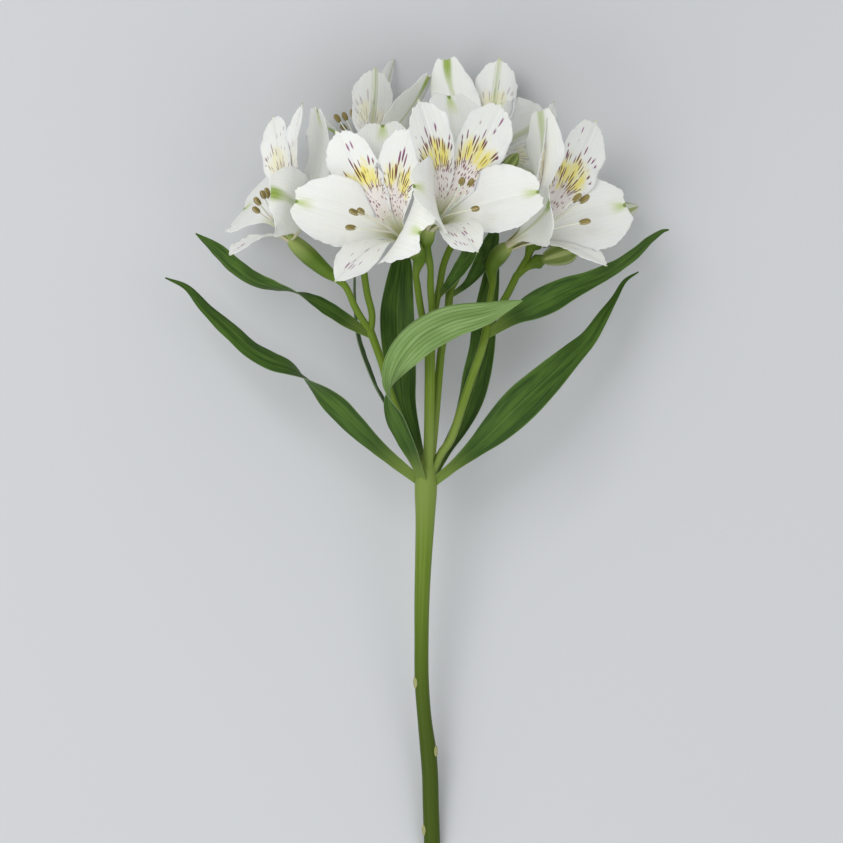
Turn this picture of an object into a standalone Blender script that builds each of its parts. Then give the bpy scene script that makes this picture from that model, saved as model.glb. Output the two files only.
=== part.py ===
# Alstroemeria, one cut stem lying on its side: a stem that branches into rays, its leaves,
# six open blooms with their stamens, and three closed buds.
# +Y runs from the cut end to the flowers, +Z is up, and z = 0 is the surface that it lies on.
# All sizes and places below are in millimetres, and MM turns them into metres.

import math

import bpy
import bmesh
import numpy as np

MM = 0.001

# Driving dimensions
BLADE = 0.7                 # thickness of a tepal or a leaf
GAP = 0.35                  # between two pieces that touch
REST_HEIGHT = 0.3           # a blade's points below this lie flat on the surface
OUTER_HALF = 14.6           # half the width of a broad outer tepal
INNER_HALF = 10.4           # half the width of a narrow inner tepal
CORE_RADIUS = 2.9           # the disc on the ovary that the tepals grow from
CORE_HEIGHT = 2.0
OVARY_RADIUS = 3.6
PEDICEL_RADIUS = 1.4        # the stalk of one bloom
FILAMENT_RADIUS = 0.45
ANTHER_LENGTH = 4.8
ANTHER_RADIUS = 1.15

# How fine the meshes are
TEPAL_ROWS = 6
TEPAL_COLUMNS = 4
LEAF_ROWS = 12
LEAF_COLUMNS = 3

# The two kinds of tepal. The start, the curl, the cup and the twist are in degrees. The width
# is given as shares of the half width at the claw and at the end. The end's outline is given by
# how far its corners are rounded back and its lobes stand out, as shares of the length.
OUTER = dict(half=OUTER_HALF, ring=2.6, claw=0.13, end=0.86, shoulder=0.62, round=0.24, sharp=2.8,
             lobes=0.035, start=8, curl=24, cup=(60, 14), wave=0.6, twist=0, sway=0)
INNER = dict(half=INNER_HALF, ring=1.75, claw=0.15, end=0.66, shoulder=0.64, round=0.20, sharp=2.4,
             lobes=0.0, start=5, curl=20, cup=(60, 16), wave=0.4, twist=0, sway=0)

# Each bloom: the top of its ovary, the way that it faces, the places of its tepals' tips and
# of its anthers from the top of the ovary
BLOOMS = {
    "left": dict(
        base=(-50.0, 85.6, 43.0), axis=(-0.66, 0.64, 0.40),
        outer={"top": ((10.6, 52.0, -2), {"twist": -10, "start": 80, "curl": -30}),
               "near": ((-7.4, 17.6, 28), {"start": 75, "curl": -35, "sway": 8, "half": 15.5, "twist": 12}),
               "far": ((-19.6, 12.6, -28), {"sway": -10, "half": 18.0, "lobes": 0.08, "round": 0.14})},
        inner={"near": ((4.4, 52.4, 10), {"start": 55, "sway": -3, "half": 6.0}),
               "far": ((-7.2, 48.4, -8), {"start": 40, "half": 8.5, "sway": -6}),
               "lower": ((-23.6, -6.4, 14), {"half": 7.5})},
        anthers=[(-10.9, 16.9, 18), (-9.4, 17.6, 12), (-13.1, 14.4, 20), (-13.4, 11.2, 15),
                 (-13.0, 14.4, 12), (-9.4, 17.4, 6)]),
    "front_left": dict(
        base=(-2.4, 83.6, 62.0), axis=(-0.55, 0.40, 0.73),
        outer={"top": ((-10.8, 47.6, -10), {"half": 15.5, "twist": 30}),
               "near": ((4.4, 3.2, 31), {"curl": 88, "start": 5, "half": 17.0, "lobes": 0.10, "round": 0.12}),
               "far": ((-45.4, 16.4, 10), {})},
        inner={"near": ((-0.4, 43.8, 20), {"half": 11.5}),
               "far": ((-28.8, 43.4, 2), {}),
               "lower": ((-28.6, -15.2, 34), {"half": 7.5, "twist": -35})},
        anthers=[(-21.9, 11.8, 29), (-19.1, 12.0, 31), (-23.1, 5.8, 27), (-21.3, 11.6, 22),
                 (-18.9, 11.6, 24), (-22.5, 6.0, 20.5)]),
    "front_right": dict(
        base=(5.2, 89.6, 63.0), axis=(0.42, 0.42, 0.80),
        outer={"top": ((7.0, 53.2, -12), {"half": 16.0, "sway": -5}),
               "near": ((-7.0, 15.4, 38), {"curl": 50, "half": 15.5}),
               "far": ((42.8, 14.0, 12), {})},
        inner={"near": ((-4.6, 48.6, 24), {}),
               "far": ((27.2, 48.4, 0), {}),
               "lower": ((18.0, -9.8, 38), {"half": 8.0, "twist": 40})},
        anthers=[(12.0, 17.4, 36), (15.6, 17.0, 33), (17.2, 7.0, 31), (12.2, 17.0, 29),
                 (15.4, 16.6, 26), (16.8, 7.2, 24)]),
    "right": dict(
        base=(36.4, 82.8, 41.0), axis=(0.76, 0.45, 0.45),
        outer={"top": ((12.4, 54.0, 4), {"twist": 80, "half": 10.5, "shoulder": 0.52}),
               "near": ((15.6, 16.6, 29), {"half": 12.0, "twist": -12}),
               "far": ((46.8, 16.8, -8), {"half": 16.5})},
        inner={"near": ((17.6, 56.8, -4), {"half": 7.5, "twist": 15, "sway": 6}),
               "far": ((34.4, 49.4, -6), {"half": 11.2}),
               "lower": ((37.8, -7.4, 12), {"half": 8.0, "sway": 4})},
        anthers=[(26.6, 18.8, 20), (29.6, 18.4, 18), (29.6, 9.6, 17), (29.2, 9.8, 10),
                 (26.4, 18.4, 13), (29.2, 18.0, 11)]),
    "back_left": dict(
        base=(-17.2, 113.6, 40.0), axis=(-0.30, 0.50, -0.80),
        outer={"top": ((22.0, 38.4, -20), {"twist": 35, "sway": 8, "half": 12}),
               "far": ((-18.0, 17.6, -37), {}),
               "near": ((16.0, -8.0, -43.0), {})},
        inner={"far": ((0.6, 40.8, -23), {"sway": 4, "half": 9.8}),
               "near": ((7.6, 45.2, -37), {"half": 5.5, "twist": 20, "curl": 5}),
               "lower": ((-13, -8.0, -37), {})},
        anthers=[(-14.4, 21.2, -24), (-11.6, 22.0, -26), (-12.0, 18.0, -29), (-7, 19, -30),
                 (-8.5, 23, -24), (-9, 15, -30)]),
    "back_right": dict(
        base=(28.0, 118.4, 40.0), axis=(0.05, 0.36, -0.93),
        outer={"far": ((-16.0, 40.6, -18), {"half": 9.5, "sway": -8}),
               "top": ((24.0, 15.4, -33), {}),
               "near": ((-6.0, -14.0, -43.0), {})},
        inner={"far": ((5.2, 42.0, -24), {"half": 9.0}),
               "near": ((22.0, -6.0, -38), {}),
               "lower": ((-22.0, 8.0, -34), {})},
        anthers=[(2, 14, -33), (6, 16, -31), (-2, 15, -32), (4, 10, -34), (-3, 11, -33),
                 (8, 12, -32)]),
}

# The green stem and its branches: the middle line, and its radius at each of its points
MAIN_STEM = ([(6.2, -160.8, 3.15), (5.6, -143, 6.2), (5.3, -131, 8.6), (4.5, -120, 11.0),
              (3.1, -108, 13.6), (1.9, -92, 17.4), (1.8, -74, 21.6), (2.0, -58, 25.6),
              (2.6, -42, 29.8), (3.3, -26, 34.0), (3.6, -12, 38.0), (3.7, -5.5, 40.4)],
             [3.3, 3.3, 3.3, 3.3, 2.9, 2.9, 2.9, 3.1, 3.4, 3.9, 4.5, 3.6])
BRANCHES = {
    "left ray": ([(2.6, -8, 39), (0.2, -3, 42), (-11.4, 26.4, 44.5), (-13.8, 35.6, 45),
                  (-16.0, 42.0, 45), (-18.8, 49.6, 45)], 1.6),
    "middle ray": ([(4, -9, 39.5), (4.4, -3, 43), (4.8, 5.6, 46), (5.2, 37.6, 50),
                    (5.2, 45.0, 51)], 2.1),
    "back ray": ([(5, -9, 38), (5.6, -3, 40), (6.6, 5.6, 42), (8.4, 26.4, 44), (9.8, 41.6, 45),
                  (12.4, 57.0, 45.5), (13.2, 66.0, 45)], 1.6),
    "right ray": ([(5, -10, 38.5), (9.6, 0.0, 41.5), (13.4, 5.6, 42.5), (18.4, 20.0, 44.5),
                   (22.0, 30.8, 45.5), (25.6, 41.0, 46.2), (28.4, 52.0, 46)], 1.7),
    "right twig": ([(28.0, 51.0, 46), (31.0, 56.0, 44.6), (35.6, 62.8, 42), (40.2, 72.0, 39)], 1.5),
}
PEDICELS = {
    "left": [(-18.4, 49.0, 45), (-22.0, 54.0, 45.5), (-24.8, 58.8, 46), (-29.0, 67.5, 47.5)],
    "back_left": [(-18.6, 49.0, 45), (-18.0, 55.6, 45), (-20.0, 64.4, 43.5), (-21.6, 75.6, 42),
                  (-22.8, 87.6, 42), (-22.4, 97.0, 44)],
    "front_left": [(5.2, 44.0, 51), (2.0, 55.6, 52.5), (0.2, 66.8, 53), (-0.4, 72.0, 53.5)],
    "front_right": [(5.2, 44.0, 51), (6.0, 56.8, 53), (5.4, 66.8, 54), (5.2, 75.6, 55)],
    "back_right": [(13.0, 65.0, 45), (16.6, 72.0, 45), (20.4, 85.6, 43), (24.4, 98.0, 43.5)],
    "right": [(28.4, 51.0, 46), (29.2, 61.6, 44), (30.2, 68.0, 42.5)],
    "bud_right": [(40.0, 71.4, 39.0), (44.0, 74.8, 37)],
    "bud_back": [(39.8, 71.0, 39.2), (42.4, 75.4, 37), (44.6, 79.4, 35)],
    "bud_small": [(5.2, 44.0, 50.6), (7.4, 58.8, 49.6), (9.0, 66.8, 49), (10.6, 75.6, 48.5),
                  (14.4, 84.6, 48), (21.0, 95.0, 48.8)],
}

# Each closed bud: the top of its ovary, the way that it points, its length and its radius
BUDS = {
    "bud_right": dict(base=(51.0, 78.2, 35.5), axis=(0.94, 0.30, 0.05), length=14.5, radius=4.9),
    "bud_back": dict(base=(50.0, 86.0, 32.0), axis=(0.84, 0.30, -0.43), length=46.0, radius=6.6),
    "bud_small": dict(base=(32.5, 110.0, 47.5), axis=(0.60, 0.78, -0.15), length=13.0, radius=2.9),
}

# Each leaf: points along its middle with half its width there and the turn of its face in
# degrees, 0 looking up and 90 to the right of the way that it grows
LEAVES = {
    "leaf_lower_left": [
        (1.2, -11.2, 39, 2.0, -30), (-14.8, 2.0, 43, 3.4, -30), (-24.4, 11.2, 44, 4.8, -28),
        (-33.0, 20.0, 44, 5.4, -35), (-45.0, 30.2, 42, 5.2, -88), (-52.0, 34.8, 40, 5.0, -125),
        (-59.4, 38.0, 38, 4.8, -140), (-68.0, 43.2, 34, 4.4, -140), (-75.4, 50.0, 31, 4.2, -140),
        (-84.6, 58.2, 28, 3.0, -140), (-93.0, 67.2, 26, 1.6, -140), (-101.6, 71.0, 24, 0.3, -140)],
    "leaf_lower_right": [
        (5.6, -12.2, 39, 1.8, 20), (15.2, -4.4, 43, 2.4, 20), (23.2, 2.4, 44, 4.0, 15),
        (32.0, 10.6, 44, 6.4, 10), (40.8, 19.4, 43, 7.6, 8), (51.4, 29.4, 40, 6.6, 5),
        (62.4, 40.0, 36, 4.6, 0), (69.2, 46.6, 33, 3.4, -10), (74.6, 54.8, 30, 2.6, -20),
        (79.6, 62.4, 27, 1.5, -30), (84.0, 69.8, 25, 0.9, -30), (89.4, 73.4, 24, 0.3, -30)],
    "leaf_folded": [
        (2.8, -12.0, 40, 2.0, -40), (-0.8, -3.0, 49, 2.8, -40), (-4.8, 5.6, 56, 3.8, -35),
        (-8.4, 14.0, 60, 4.6, -40), (-11.0, 21.6, 62, 4.6, -75), (-10.8, 28.6, 63.5, 5.0, -120),
        (-8.2, 34.8, 64.5, 5.8, -150), (-4.4, 40.4, 65.5, 6.6, -170), (1.2, 46.0, 66, 7.0, -180),
        (8.4, 50.4, 65, 7.0, -180), (15.2, 53.2, 63.5, 6.4, -180), (22.0, 54.8, 62, 5.6, -180),
        (28.4, 56.4, 60.5, 4.3, -180), (34.8, 58.8, 59.5, 2.6, -180), (42.0, 61.2, 59, 0.3, -180)],
    "leaf_upper_left": [
        (-17.6, 46.8, 45.0, 1.2, 30), (-27.8, 53.0, 43, 3.0, 30), (-36.4, 58.6, 41, 3.6, 40),
        (-43.8, 62.8, 40, 3.8, 65), (-49.0, 65.2, 39, 3.8, 90), (-57.6, 67.4, 37, 3.8, 120),
        (-65.8, 70.4, 35, 3.8, 140), (-74.0, 76.0, 32, 3.8, 145), (-80.2, 81.8, 30, 3.2, 145),
        (-85.0, 85.6, 28, 1.8, 145), (-89.2, 88.8, 27, 0.3, 145)],
    "leaf_upper_right": [
        (27.6, 47.2, 46.2, 1.3, 0), (38.6, 55.0, 48.6, 3.4, 0), (46.8, 59.2, 49, 5.4, 0),
        (53.4, 62.4, 48, 5.8, 0), (60.4, 66.0, 46, 5.0, 0), (69.4, 69.8, 43, 3.6, 0),
        (80.0, 75.4, 40, 3.0, 30), (87.6, 80.8, 37, 2.8, 40), (93.4, 86.0, 34, 2.0, 40),
        (98.8, 89.6, 32, 1.0, 40), (101.4, 90.2, 31, 0.3, 40)],
    "leaf_back_left": [
        (3.0, -11.0, 35.5, 2.0, 0), (-0.5, 4.0, 32, 2.6, 0), (-5.0, 20.0, 32.5, 4.6, 0),
        (-6.4, 33.6, 35, 6.0, 0), (-7.6, 45.6, 35, 6.8, 0), (-8.0, 56.8, 35, 6.8, 0),
        (-7.2, 67.6, 34, 5.6, 0), (-6.2, 76.8, 32, 4.0, 0), (-5.4, 87.0, 29, 0.3, 0)],
    "leaf_back_right": [
        (5.0, -11.0, 37, 1.8, 10), (12.2, 2.4, 34, 2.4, 10), (17.6, 11.6, 34, 3.6, 10),
        (21.6, 21.6, 35, 5.0, 5), (24.0, 31.6, 35, 5.6, 0), (26.0, 41.6, 35, 5.2, 0),
        (27.2, 53.6, 34, 4.8, 0), (29.2, 66.8, 31, 3.8, 0), (30.6, 76.8, 28, 2.4, 0),
        (31.6, 84.0, 26, 0.3, 0)],
    "leaf_thin": [
        (1.6, -9.0, 38.5, 1.4, 60), (-7.0, 8.0, 37.5, 2.0, 75), (-12.0, 18.6, 36, 2.8, 80),
        (-17.0, 28.0, 36, 3.4, 80), (-21.0, 38.0, 35.5, 3.8, 78), (-24.0, 48.0, 35, 3.6, 80),
        (-25.0, 59.6, 34, 3.0, 84), (-25.2, 72.4, 33, 1.6, 84), (-25.0, 79.0, 32, 0.3, 84)],
    "bract_middle": [
        (8.4, 62.6, 49.4, 0.9, -20), (13.4, 69.0, 53, 2.0, -20), (17.6, 74.6, 55, 3.0, -20),
        (20.6, 79.6, 55, 3.0, -15), (22.6, 85.0, 54, 2.0, -10), (24.0, 91.0, 52, 0.3, -10)],
    "bract_right": [
        (13.0, 63.0, 45.4, 0.9, 0), (19.8, 68.0, 44.5, 1.5, 0), (23.4, 72.6, 42, 2.6, 0),
        (27.0, 78.6, 38, 3.4, 0), (30.0, 85.6, 33.5, 3.0, 0), (32.4, 93.0, 30, 0.3, 0)],
}


def unit(v):
    v = np.asarray(v, float)
    return v / np.linalg.norm(v)


def smooth(t):
    t = np.clip(t, 0.0, 1.0)
    return t * t * (3 - 2 * t)


def through(points, count):
    """Evenly spaced places on a smooth curve through the given points."""
    p = np.asarray(points, float)
    p = np.vstack([2 * p[0] - p[1], p, 2 * p[-1] - p[-2]])
    knots = np.concatenate([[0], np.cumsum(np.linalg.norm(np.diff(p[:, :3], axis=0), axis=1) ** 0.5)])
    made = []
    for at in np.linspace(knots[1], knots[-2], 20 * len(points)):
        i = min(max(int(np.searchsorted(knots, at, side="right")) - 1, 1), len(p) - 3)
        k = knots[i - 1:i + 3]
        q = p[i - 1:i + 3]
        a = [((k[j + 1] - at) * q[j] + (at - k[j]) * q[j + 1]) / (k[j + 1] - k[j]) for j in range(3)]
        b = [((k[j + 2] - at) * a[j] + (at - k[j]) * a[j + 1]) / (k[j + 2] - k[j]) for j in range(2)]
        made.append(((k[2] - at) * b[0] + (at - k[1]) * b[1]) / (k[2] - k[1]))
    made = np.array(made)
    far = np.concatenate([[0], np.cumsum(np.linalg.norm(np.diff(made[:, :3], axis=0), axis=1))])
    wanted = np.linspace(0, far[-1], count)
    return np.stack([np.interp(wanted, far, made[:, c]) for c in range(made.shape[1])], axis=1)


def tangents(line):
    return np.array([unit(v) for v in np.gradient(line, axis=0)])


def line_length(line):
    return np.linalg.norm(np.diff(line, axis=0), axis=1).sum()


def tepal_half_width(t, spec):
    """Half the width: a narrow claw that swells to the shoulder and draws in to the end."""
    swell = spec["claw"] + (1 - spec["claw"]) * smooth((t - 0.12) / (spec["shoulder"] - 0.12))
    past = np.clip((t - spec["shoulder"]) / (1 - spec["shoulder"]), 0, 1)
    return spec["half"] * swell * (1 - (1 - spec["end"]) * past ** 2)


def tepal_reach(v, spec):
    """How far along its length the tepal goes, at the share v of its width from the middle."""
    return 1 - spec["round"] * abs(v) ** spec["sharp"] + spec["lobes"] * math.sin(math.pi * v) ** 2


def tepal_spine(base, axis, tip, spec):
    """A curve that leaves the ovary along the bloom's axis and bends out to the tip."""
    tip = np.asarray(tip, float)
    outward = unit(tip - axis * (tip @ axis))
    side = np.cross(axis, outward)
    lean = math.radians(spec["start"])
    root = outward * spec["ring"]
    length = np.linalg.norm(tip - root)
    chord = math.acos(np.clip(unit(tip - root) @ axis, -1, 1))
    end = min(chord + math.radians(spec["curl"]), math.radians(150))
    first = root + (axis * math.cos(lean) + outward * math.sin(lean)) * length * 0.42
    last = tip - (axis * math.cos(end) + outward * math.sin(end)) * length * 0.36
    first = first + side * spec["sway"] * 0.3
    last = last + side * spec["sway"]
    t = np.linspace(0, 1, 161)[:, None]
    line = ((1 - t) ** 3 * root + 3 * (1 - t) ** 2 * t * first
            + 3 * (1 - t) * t ** 2 * last + t ** 3 * tip)
    return through(base + line[::16], 161), side


def tepal_grid(base, axis, tip, spec, rows, columns):
    """Points of a tepal's middle surface, row by row from the claw to the tip."""
    middle, side0 = tepal_spine(base, axis, tip, spec)
    along = tangents(middle)
    side = side0 - along * (along @ side0)[:, None]
    side /= np.linalg.norm(side, axis=1)[:, None]
    inward = np.cross(along, side)
    t = np.linspace(0, 1, len(middle))
    turn = np.radians(spec["twist"]) * smooth((t - 0.1) / 0.7)
    side, inward = (side * np.cos(turn)[:, None] + inward * np.sin(turn)[:, None],
                    inward * np.cos(turn)[:, None] - side * np.sin(turn)[:, None])
    length = line_length(middle)
    points = np.zeros((rows + 1, columns + 1, 3))
    for i, share in enumerate(1 - (1 - np.linspace(0, 1, rows + 1)) ** 1.15):
        for k, v in enumerate(np.linspace(-1, 1, columns + 1)):
            reach = share * tepal_reach(v, spec)
            j = min(int(round(reach * (len(middle) - 1))), len(middle) - 1)
            half = tepal_half_width(reach, spec)
            low, high = spec["cup"]
            roll = math.radians(low + (high - low) * smooth(reach / 0.42))
            ripple = spec["wave"] * abs(v) ** 3 * reach * math.sin(9 * reach + 2.5 * v + tip[0])
            points[i, k] = (middle[j] + along[j] * max(reach - 1, 0) * length
                            + side[j] * half * math.sin(roll * v) / roll
                            + inward[j] * (half * (1 - math.cos(roll * v)) / roll + ripple))
    return points


def leaf_grid(line, rows, columns):
    """Points of a leaf's middle surface. Its face turns as it goes, as the real leaf's does."""
    places = through(line, rows + 1)
    middle = places[:, :3]
    along = tangents(middle)
    points = np.zeros((rows + 1, columns + 1, 3))
    for i in range(rows + 1):
        half, turn = max(places[i, 3], 0.3), math.radians(places[i, 4])
        level = unit(np.cross(along[i], (0, 0, 1)))
        above = np.cross(level, along[i])
        across = level * math.cos(turn) - above * math.sin(turn)
        face = above * math.cos(turn) + level * math.sin(turn)
        for k, v in enumerate(np.linspace(-1, 1, columns + 1)):
            points[i, k] = middle[i] + across * half * v + face * half * 0.16 * (v * v - 0.35)
    return points


def blade(points):
    """A closed thin solid whose two faces have the same triangles."""
    rows, columns = points.shape[0] - 1, points.shape[1] - 1
    bm = bmesh.new()
    bmesh.ops.create_grid(bm, x_segments=columns, y_segments=rows, size=1)
    for vert, place in zip(bm.verts, points.reshape(-1, 3)):
        vert.co = place * MM
        vert.co.z = max(vert.co.z, BLADE * MM / 2)
    bmesh.ops.triangulate(bm, faces=bm.faces, quad_method="FIXED")
    bmesh.ops.recalc_face_normals(bm, faces=bm.faces)
    sheet = bpy.data.objects.new("sheet", mesh_from(bm))
    bpy.context.scene.collection.objects.link(sheet)
    wall = sheet.modifiers.new("wall", "SOLIDIFY")
    wall.thickness = BLADE * MM
    wall.offset = 0
    mesh = bpy.data.meshes.new_from_object(sheet.evaluated_get(bpy.context.evaluated_depsgraph_get()))
    bpy.data.objects.remove(sheet)
    for vert in mesh.vertices:
        if vert.co.z < REST_HEIGHT * MM:
            vert.co.z = 0
    return mesh


def mesh_from(bm):
    mesh = bpy.data.meshes.new("piece")
    bm.to_mesh(mesh)
    bm.free()
    return mesh


def stalk(points, radii, count, resolution=2):
    """A round stalk with flat ends whose radius changes from point to point."""
    if np.isscalar(radii):
        radii = [radii] * len(points)
    places = through(np.column_stack([points, radii]), count)
    curve = bpy.data.curves.new("stalk", "CURVE")
    curve.dimensions = "3D"
    curve.bevel_depth = MM
    curve.bevel_resolution = resolution
    curve.use_fill_caps = True
    spline = curve.splines.new("POLY")
    spline.points.add(len(places) - 1)
    for point, (x, y, z, radius) in zip(spline.points, places):
        point.co = (x * MM, y * MM, z * MM, 1)
        point.radius = radius
    obj = bpy.data.objects.new("stalk", curve)
    bpy.context.scene.collection.objects.link(obj)
    mesh = bpy.data.meshes.new_from_object(obj.evaluated_get(bpy.context.evaluated_depsgraph_get()))
    bpy.data.objects.remove(obj)
    bm = bmesh.new()
    bm.from_mesh(mesh)
    bmesh.ops.remove_doubles(bm, verts=bm.verts, dist=1e-7)
    bmesh.ops.recalc_face_normals(bm, faces=bm.faces)
    bm.to_mesh(mesh)
    bm.free()
    return mesh


def oval(centre, direction, length, radius, sides=6, rings=3):
    """A long round body, such as an anther."""
    bm = bmesh.new()
    bmesh.ops.create_uvsphere(bm, u_segments=sides, v_segments=rings, radius=1)
    ahead = unit(direction)
    across = unit(np.cross(ahead, (0.3, 0.5, 0.8)))
    third = np.cross(ahead, across)
    for vert in bm.verts:
        x, y, z = vert.co
        vert.co = (np.asarray(centre) + across * x * radius + third * y * radius
                   + ahead * z * length / 2) * MM
    return mesh_from(bm)


def largest_body(mesh):
    """The mesh without the scraps that a cut leaves apart from its main body."""
    bm = bmesh.new()
    bm.from_mesh(mesh)
    unseen, bodies = set(bm.verts), []
    while unseen:
        body, edge = set(), [unseen.pop()]
        while edge:
            vert = edge.pop()
            body.add(vert)
            near = {e.other_vert(vert) for e in vert.link_edges} & unseen
            unseen -= near
            edge += near
        bodies.append(body)
    keep = max(bodies, key=len)
    bmesh.ops.delete(bm, geom=[v for body in bodies if body is not keep for v in body], context="VERTS")
    bm.to_mesh(mesh)
    bm.free()
    return mesh


def joined(name, meshes, colour, roughness=0.5, operation="UNION"):
    """One body, with its own material, from overlapping closed meshes or from a mesh less the others."""
    group = bpy.data.collections.new(name + " pieces")
    bpy.context.scene.collection.children.link(group)
    pieces = [bpy.data.objects.new("piece", mesh) for mesh in meshes]
    for piece in pieces[1:]:
        group.objects.link(piece)
    bpy.context.scene.collection.objects.link(pieces[0])
    mesh = meshes[0]
    if len(pieces) > 1:
        union = pieces[0].modifiers.new("join", "BOOLEAN")
        union.operation = operation
        union.operand_type = "COLLECTION"
        union.collection = group
        union.solver = "MANIFOLD"
        graph = bpy.context.evaluated_depsgraph_get()
        mesh = largest_body(bpy.data.meshes.new_from_object(pieces[0].evaluated_get(graph)))
    for piece in pieces:
        bpy.data.objects.remove(piece)
    bpy.data.collections.remove(group)
    return new_object(name, mesh, colour, roughness)


def new_object(name, mesh, colour, roughness):
    mesh.name = name
    mesh.materials.clear()
    material = bpy.data.materials.new(name)
    material.use_nodes = True
    shader = material.node_tree.nodes["Principled BSDF"]
    shader.inputs["Base Color"].default_value = (*colour, 1)
    shader.inputs["Roughness"].default_value = roughness
    mesh.materials.append(material)
    mesh.shade_smooth()
    mesh.set_sharp_from_angle(angle=math.radians(50))
    obj = bpy.data.objects.new(name, mesh)
    bpy.context.scene.collection.objects.link(obj)
    return obj


def disc(centre, axis, radius, height):
    return stalk([np.asarray(centre) + unit(axis) * height * s for s in (0, 0.5, 1)], radius, 2)


def make_tepals(name, bloom):
    base, axis = np.asarray(bloom["base"], float), unit(bloom["axis"])
    start = base + axis * GAP
    pieces = [disc(start, axis, CORE_RADIUS, CORE_HEIGHT)]
    for kind, tepals in ((OUTER, bloom["outer"]), (INNER, bloom["inner"])):
        for tip, change in tepals.values():
            points = tepal_grid(start + axis * 0.6, axis, tip, {**kind, **change}, TEPAL_ROWS, TEPAL_COLUMNS)
            pieces.append(blade(points))
    joined(f"bloom_{name}_tepals", pieces, (0.86, 0.86, 0.80))


def make_stamens(name, bloom):
    base, axis = np.asarray(bloom["base"], float), unit(bloom["axis"])
    foot = base + axis * (CORE_HEIGHT + 2 * GAP)
    pieces = [disc(foot, axis, 1.0, 1.5)]
    for at in bloom["anthers"]:
        end = base + np.asarray(at, float)
        away = unit(end - foot - axis * ((end - foot) @ axis))
        low = foot + axis * 0.3 + away * 0.5
        half_way = foot + (end - foot) * 0.55 - away * 1.5
        pieces.append(stalk([low, low + axis * 8, half_way, end], FILAMENT_RADIUS, 4, 0))
        pieces.append(oval(end + unit(end - half_way) * 1.4, end - half_way, ANTHER_LENGTH, ANTHER_RADIUS))
    joined(f"bloom_{name}_stamens", pieces, (0.30, 0.26, 0.10))


def ovary_line(base, axis, route):
    """The places and radii of a stalk's last stretch, the ovary under a bloom or a bud."""
    base, axis = np.asarray(base, float), unit(axis)
    start = np.asarray(route[-1], float)
    bend = unit(unit(base - start) + axis)
    length = np.linalg.norm(base - start)
    return list(route) + [base - bend * length * 0.62, base - (bend + axis) * length * 0.16, base - axis]


def stem_pieces(margin):
    """The stalks that the stem is joined from, each this much thicker than it is."""
    line, radii = MAIN_STEM
    pieces = [stalk(line, [radius + margin for radius in radii], 15, 3)]
    for line, radius in BRANCHES.values():
        pieces.append(stalk(line, radius + margin, len(line) + 3))
    for name, route in PEDICELS.items():
        holder = BUDS.get(name) or BLOOMS[name]
        thick = min(OVARY_RADIUS, holder.get("radius", OVARY_RADIUS))
        line = ovary_line(holder["base"], holder["axis"], route)
        radii = [PEDICEL_RADIUS] * len(route) + [thick * 0.85, thick, thick * 0.8]
        pieces.append(stalk(line, [radius + margin for radius in radii], len(line) + 5, 1))
        axis = unit(holder["axis"])
        pieces.append(disc(np.asarray(holder["base"]) - axis * 1.6, axis, thick * 0.86, 1.6))
    return pieces


def make_stem():
    joined("stem", stem_pieces(0), (0.28, 0.36, 0.10), 0.45)


def make_bud(name, bud):
    base, axis = np.asarray(bud["base"], float), unit(bud["axis"])
    start = base + axis * GAP
    shape = [(0.0, 0.40), (0.12, 0.62), (0.35, 0.92), (0.6, 1.0), (0.8, 0.80), (0.92, 0.45), (1.0, 0.12)]
    line = [start + axis * bud["length"] * t for t, _ in shape]
    joined(name, [stalk(line, [bud["radius"] * r for _, r in shape], 12)], (0.45, 0.52, 0.22))


def main():
    for old in list(bpy.data.objects):
        bpy.data.objects.remove(old)
    make_stem()
    for name, bloom in BLOOMS.items():
        make_tepals(name, bloom)
        make_stamens(name, bloom)
    for name, bud in BUDS.items():
        make_bud(name, bud)
    for name, line in LEAVES.items():
        whole = blade(leaf_grid(line, LEAF_ROWS, LEAF_COLUMNS))
        joined(name, [whole] + stem_pieces(GAP), (0.06, 0.16, 0.03), 0.5, "DIFFERENCE")


main()
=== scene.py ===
import math

import bmesh
import bpy
import numpy as np
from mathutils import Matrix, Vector, noise


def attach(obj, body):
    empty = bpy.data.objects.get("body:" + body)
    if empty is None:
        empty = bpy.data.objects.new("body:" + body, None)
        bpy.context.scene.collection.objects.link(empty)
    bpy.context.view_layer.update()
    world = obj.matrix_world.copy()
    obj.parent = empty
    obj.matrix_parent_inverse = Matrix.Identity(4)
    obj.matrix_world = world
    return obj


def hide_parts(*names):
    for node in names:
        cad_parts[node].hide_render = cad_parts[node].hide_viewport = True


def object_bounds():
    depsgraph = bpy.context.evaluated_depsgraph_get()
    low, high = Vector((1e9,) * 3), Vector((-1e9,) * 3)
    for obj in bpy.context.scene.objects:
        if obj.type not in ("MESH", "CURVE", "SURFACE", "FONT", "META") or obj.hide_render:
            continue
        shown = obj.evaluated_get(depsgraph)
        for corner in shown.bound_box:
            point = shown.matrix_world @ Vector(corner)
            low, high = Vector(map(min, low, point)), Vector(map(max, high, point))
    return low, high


# A cut alstroemeria stem lying on its side, seen from straight above.
# The tables hold the same places, in millimetres, as the solids were made from.
# +Y runs from the cut end to the flowers, +Z is up, and z = 0 is the surface that it lies on.

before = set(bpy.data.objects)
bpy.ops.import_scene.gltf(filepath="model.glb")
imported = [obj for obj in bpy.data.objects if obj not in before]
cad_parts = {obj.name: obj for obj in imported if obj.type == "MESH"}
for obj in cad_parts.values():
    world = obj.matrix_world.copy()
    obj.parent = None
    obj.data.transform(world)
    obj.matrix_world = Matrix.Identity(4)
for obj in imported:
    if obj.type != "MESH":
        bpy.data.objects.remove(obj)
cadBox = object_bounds()
mm = 0.001
print("solids loaded:", len(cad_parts))

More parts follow.
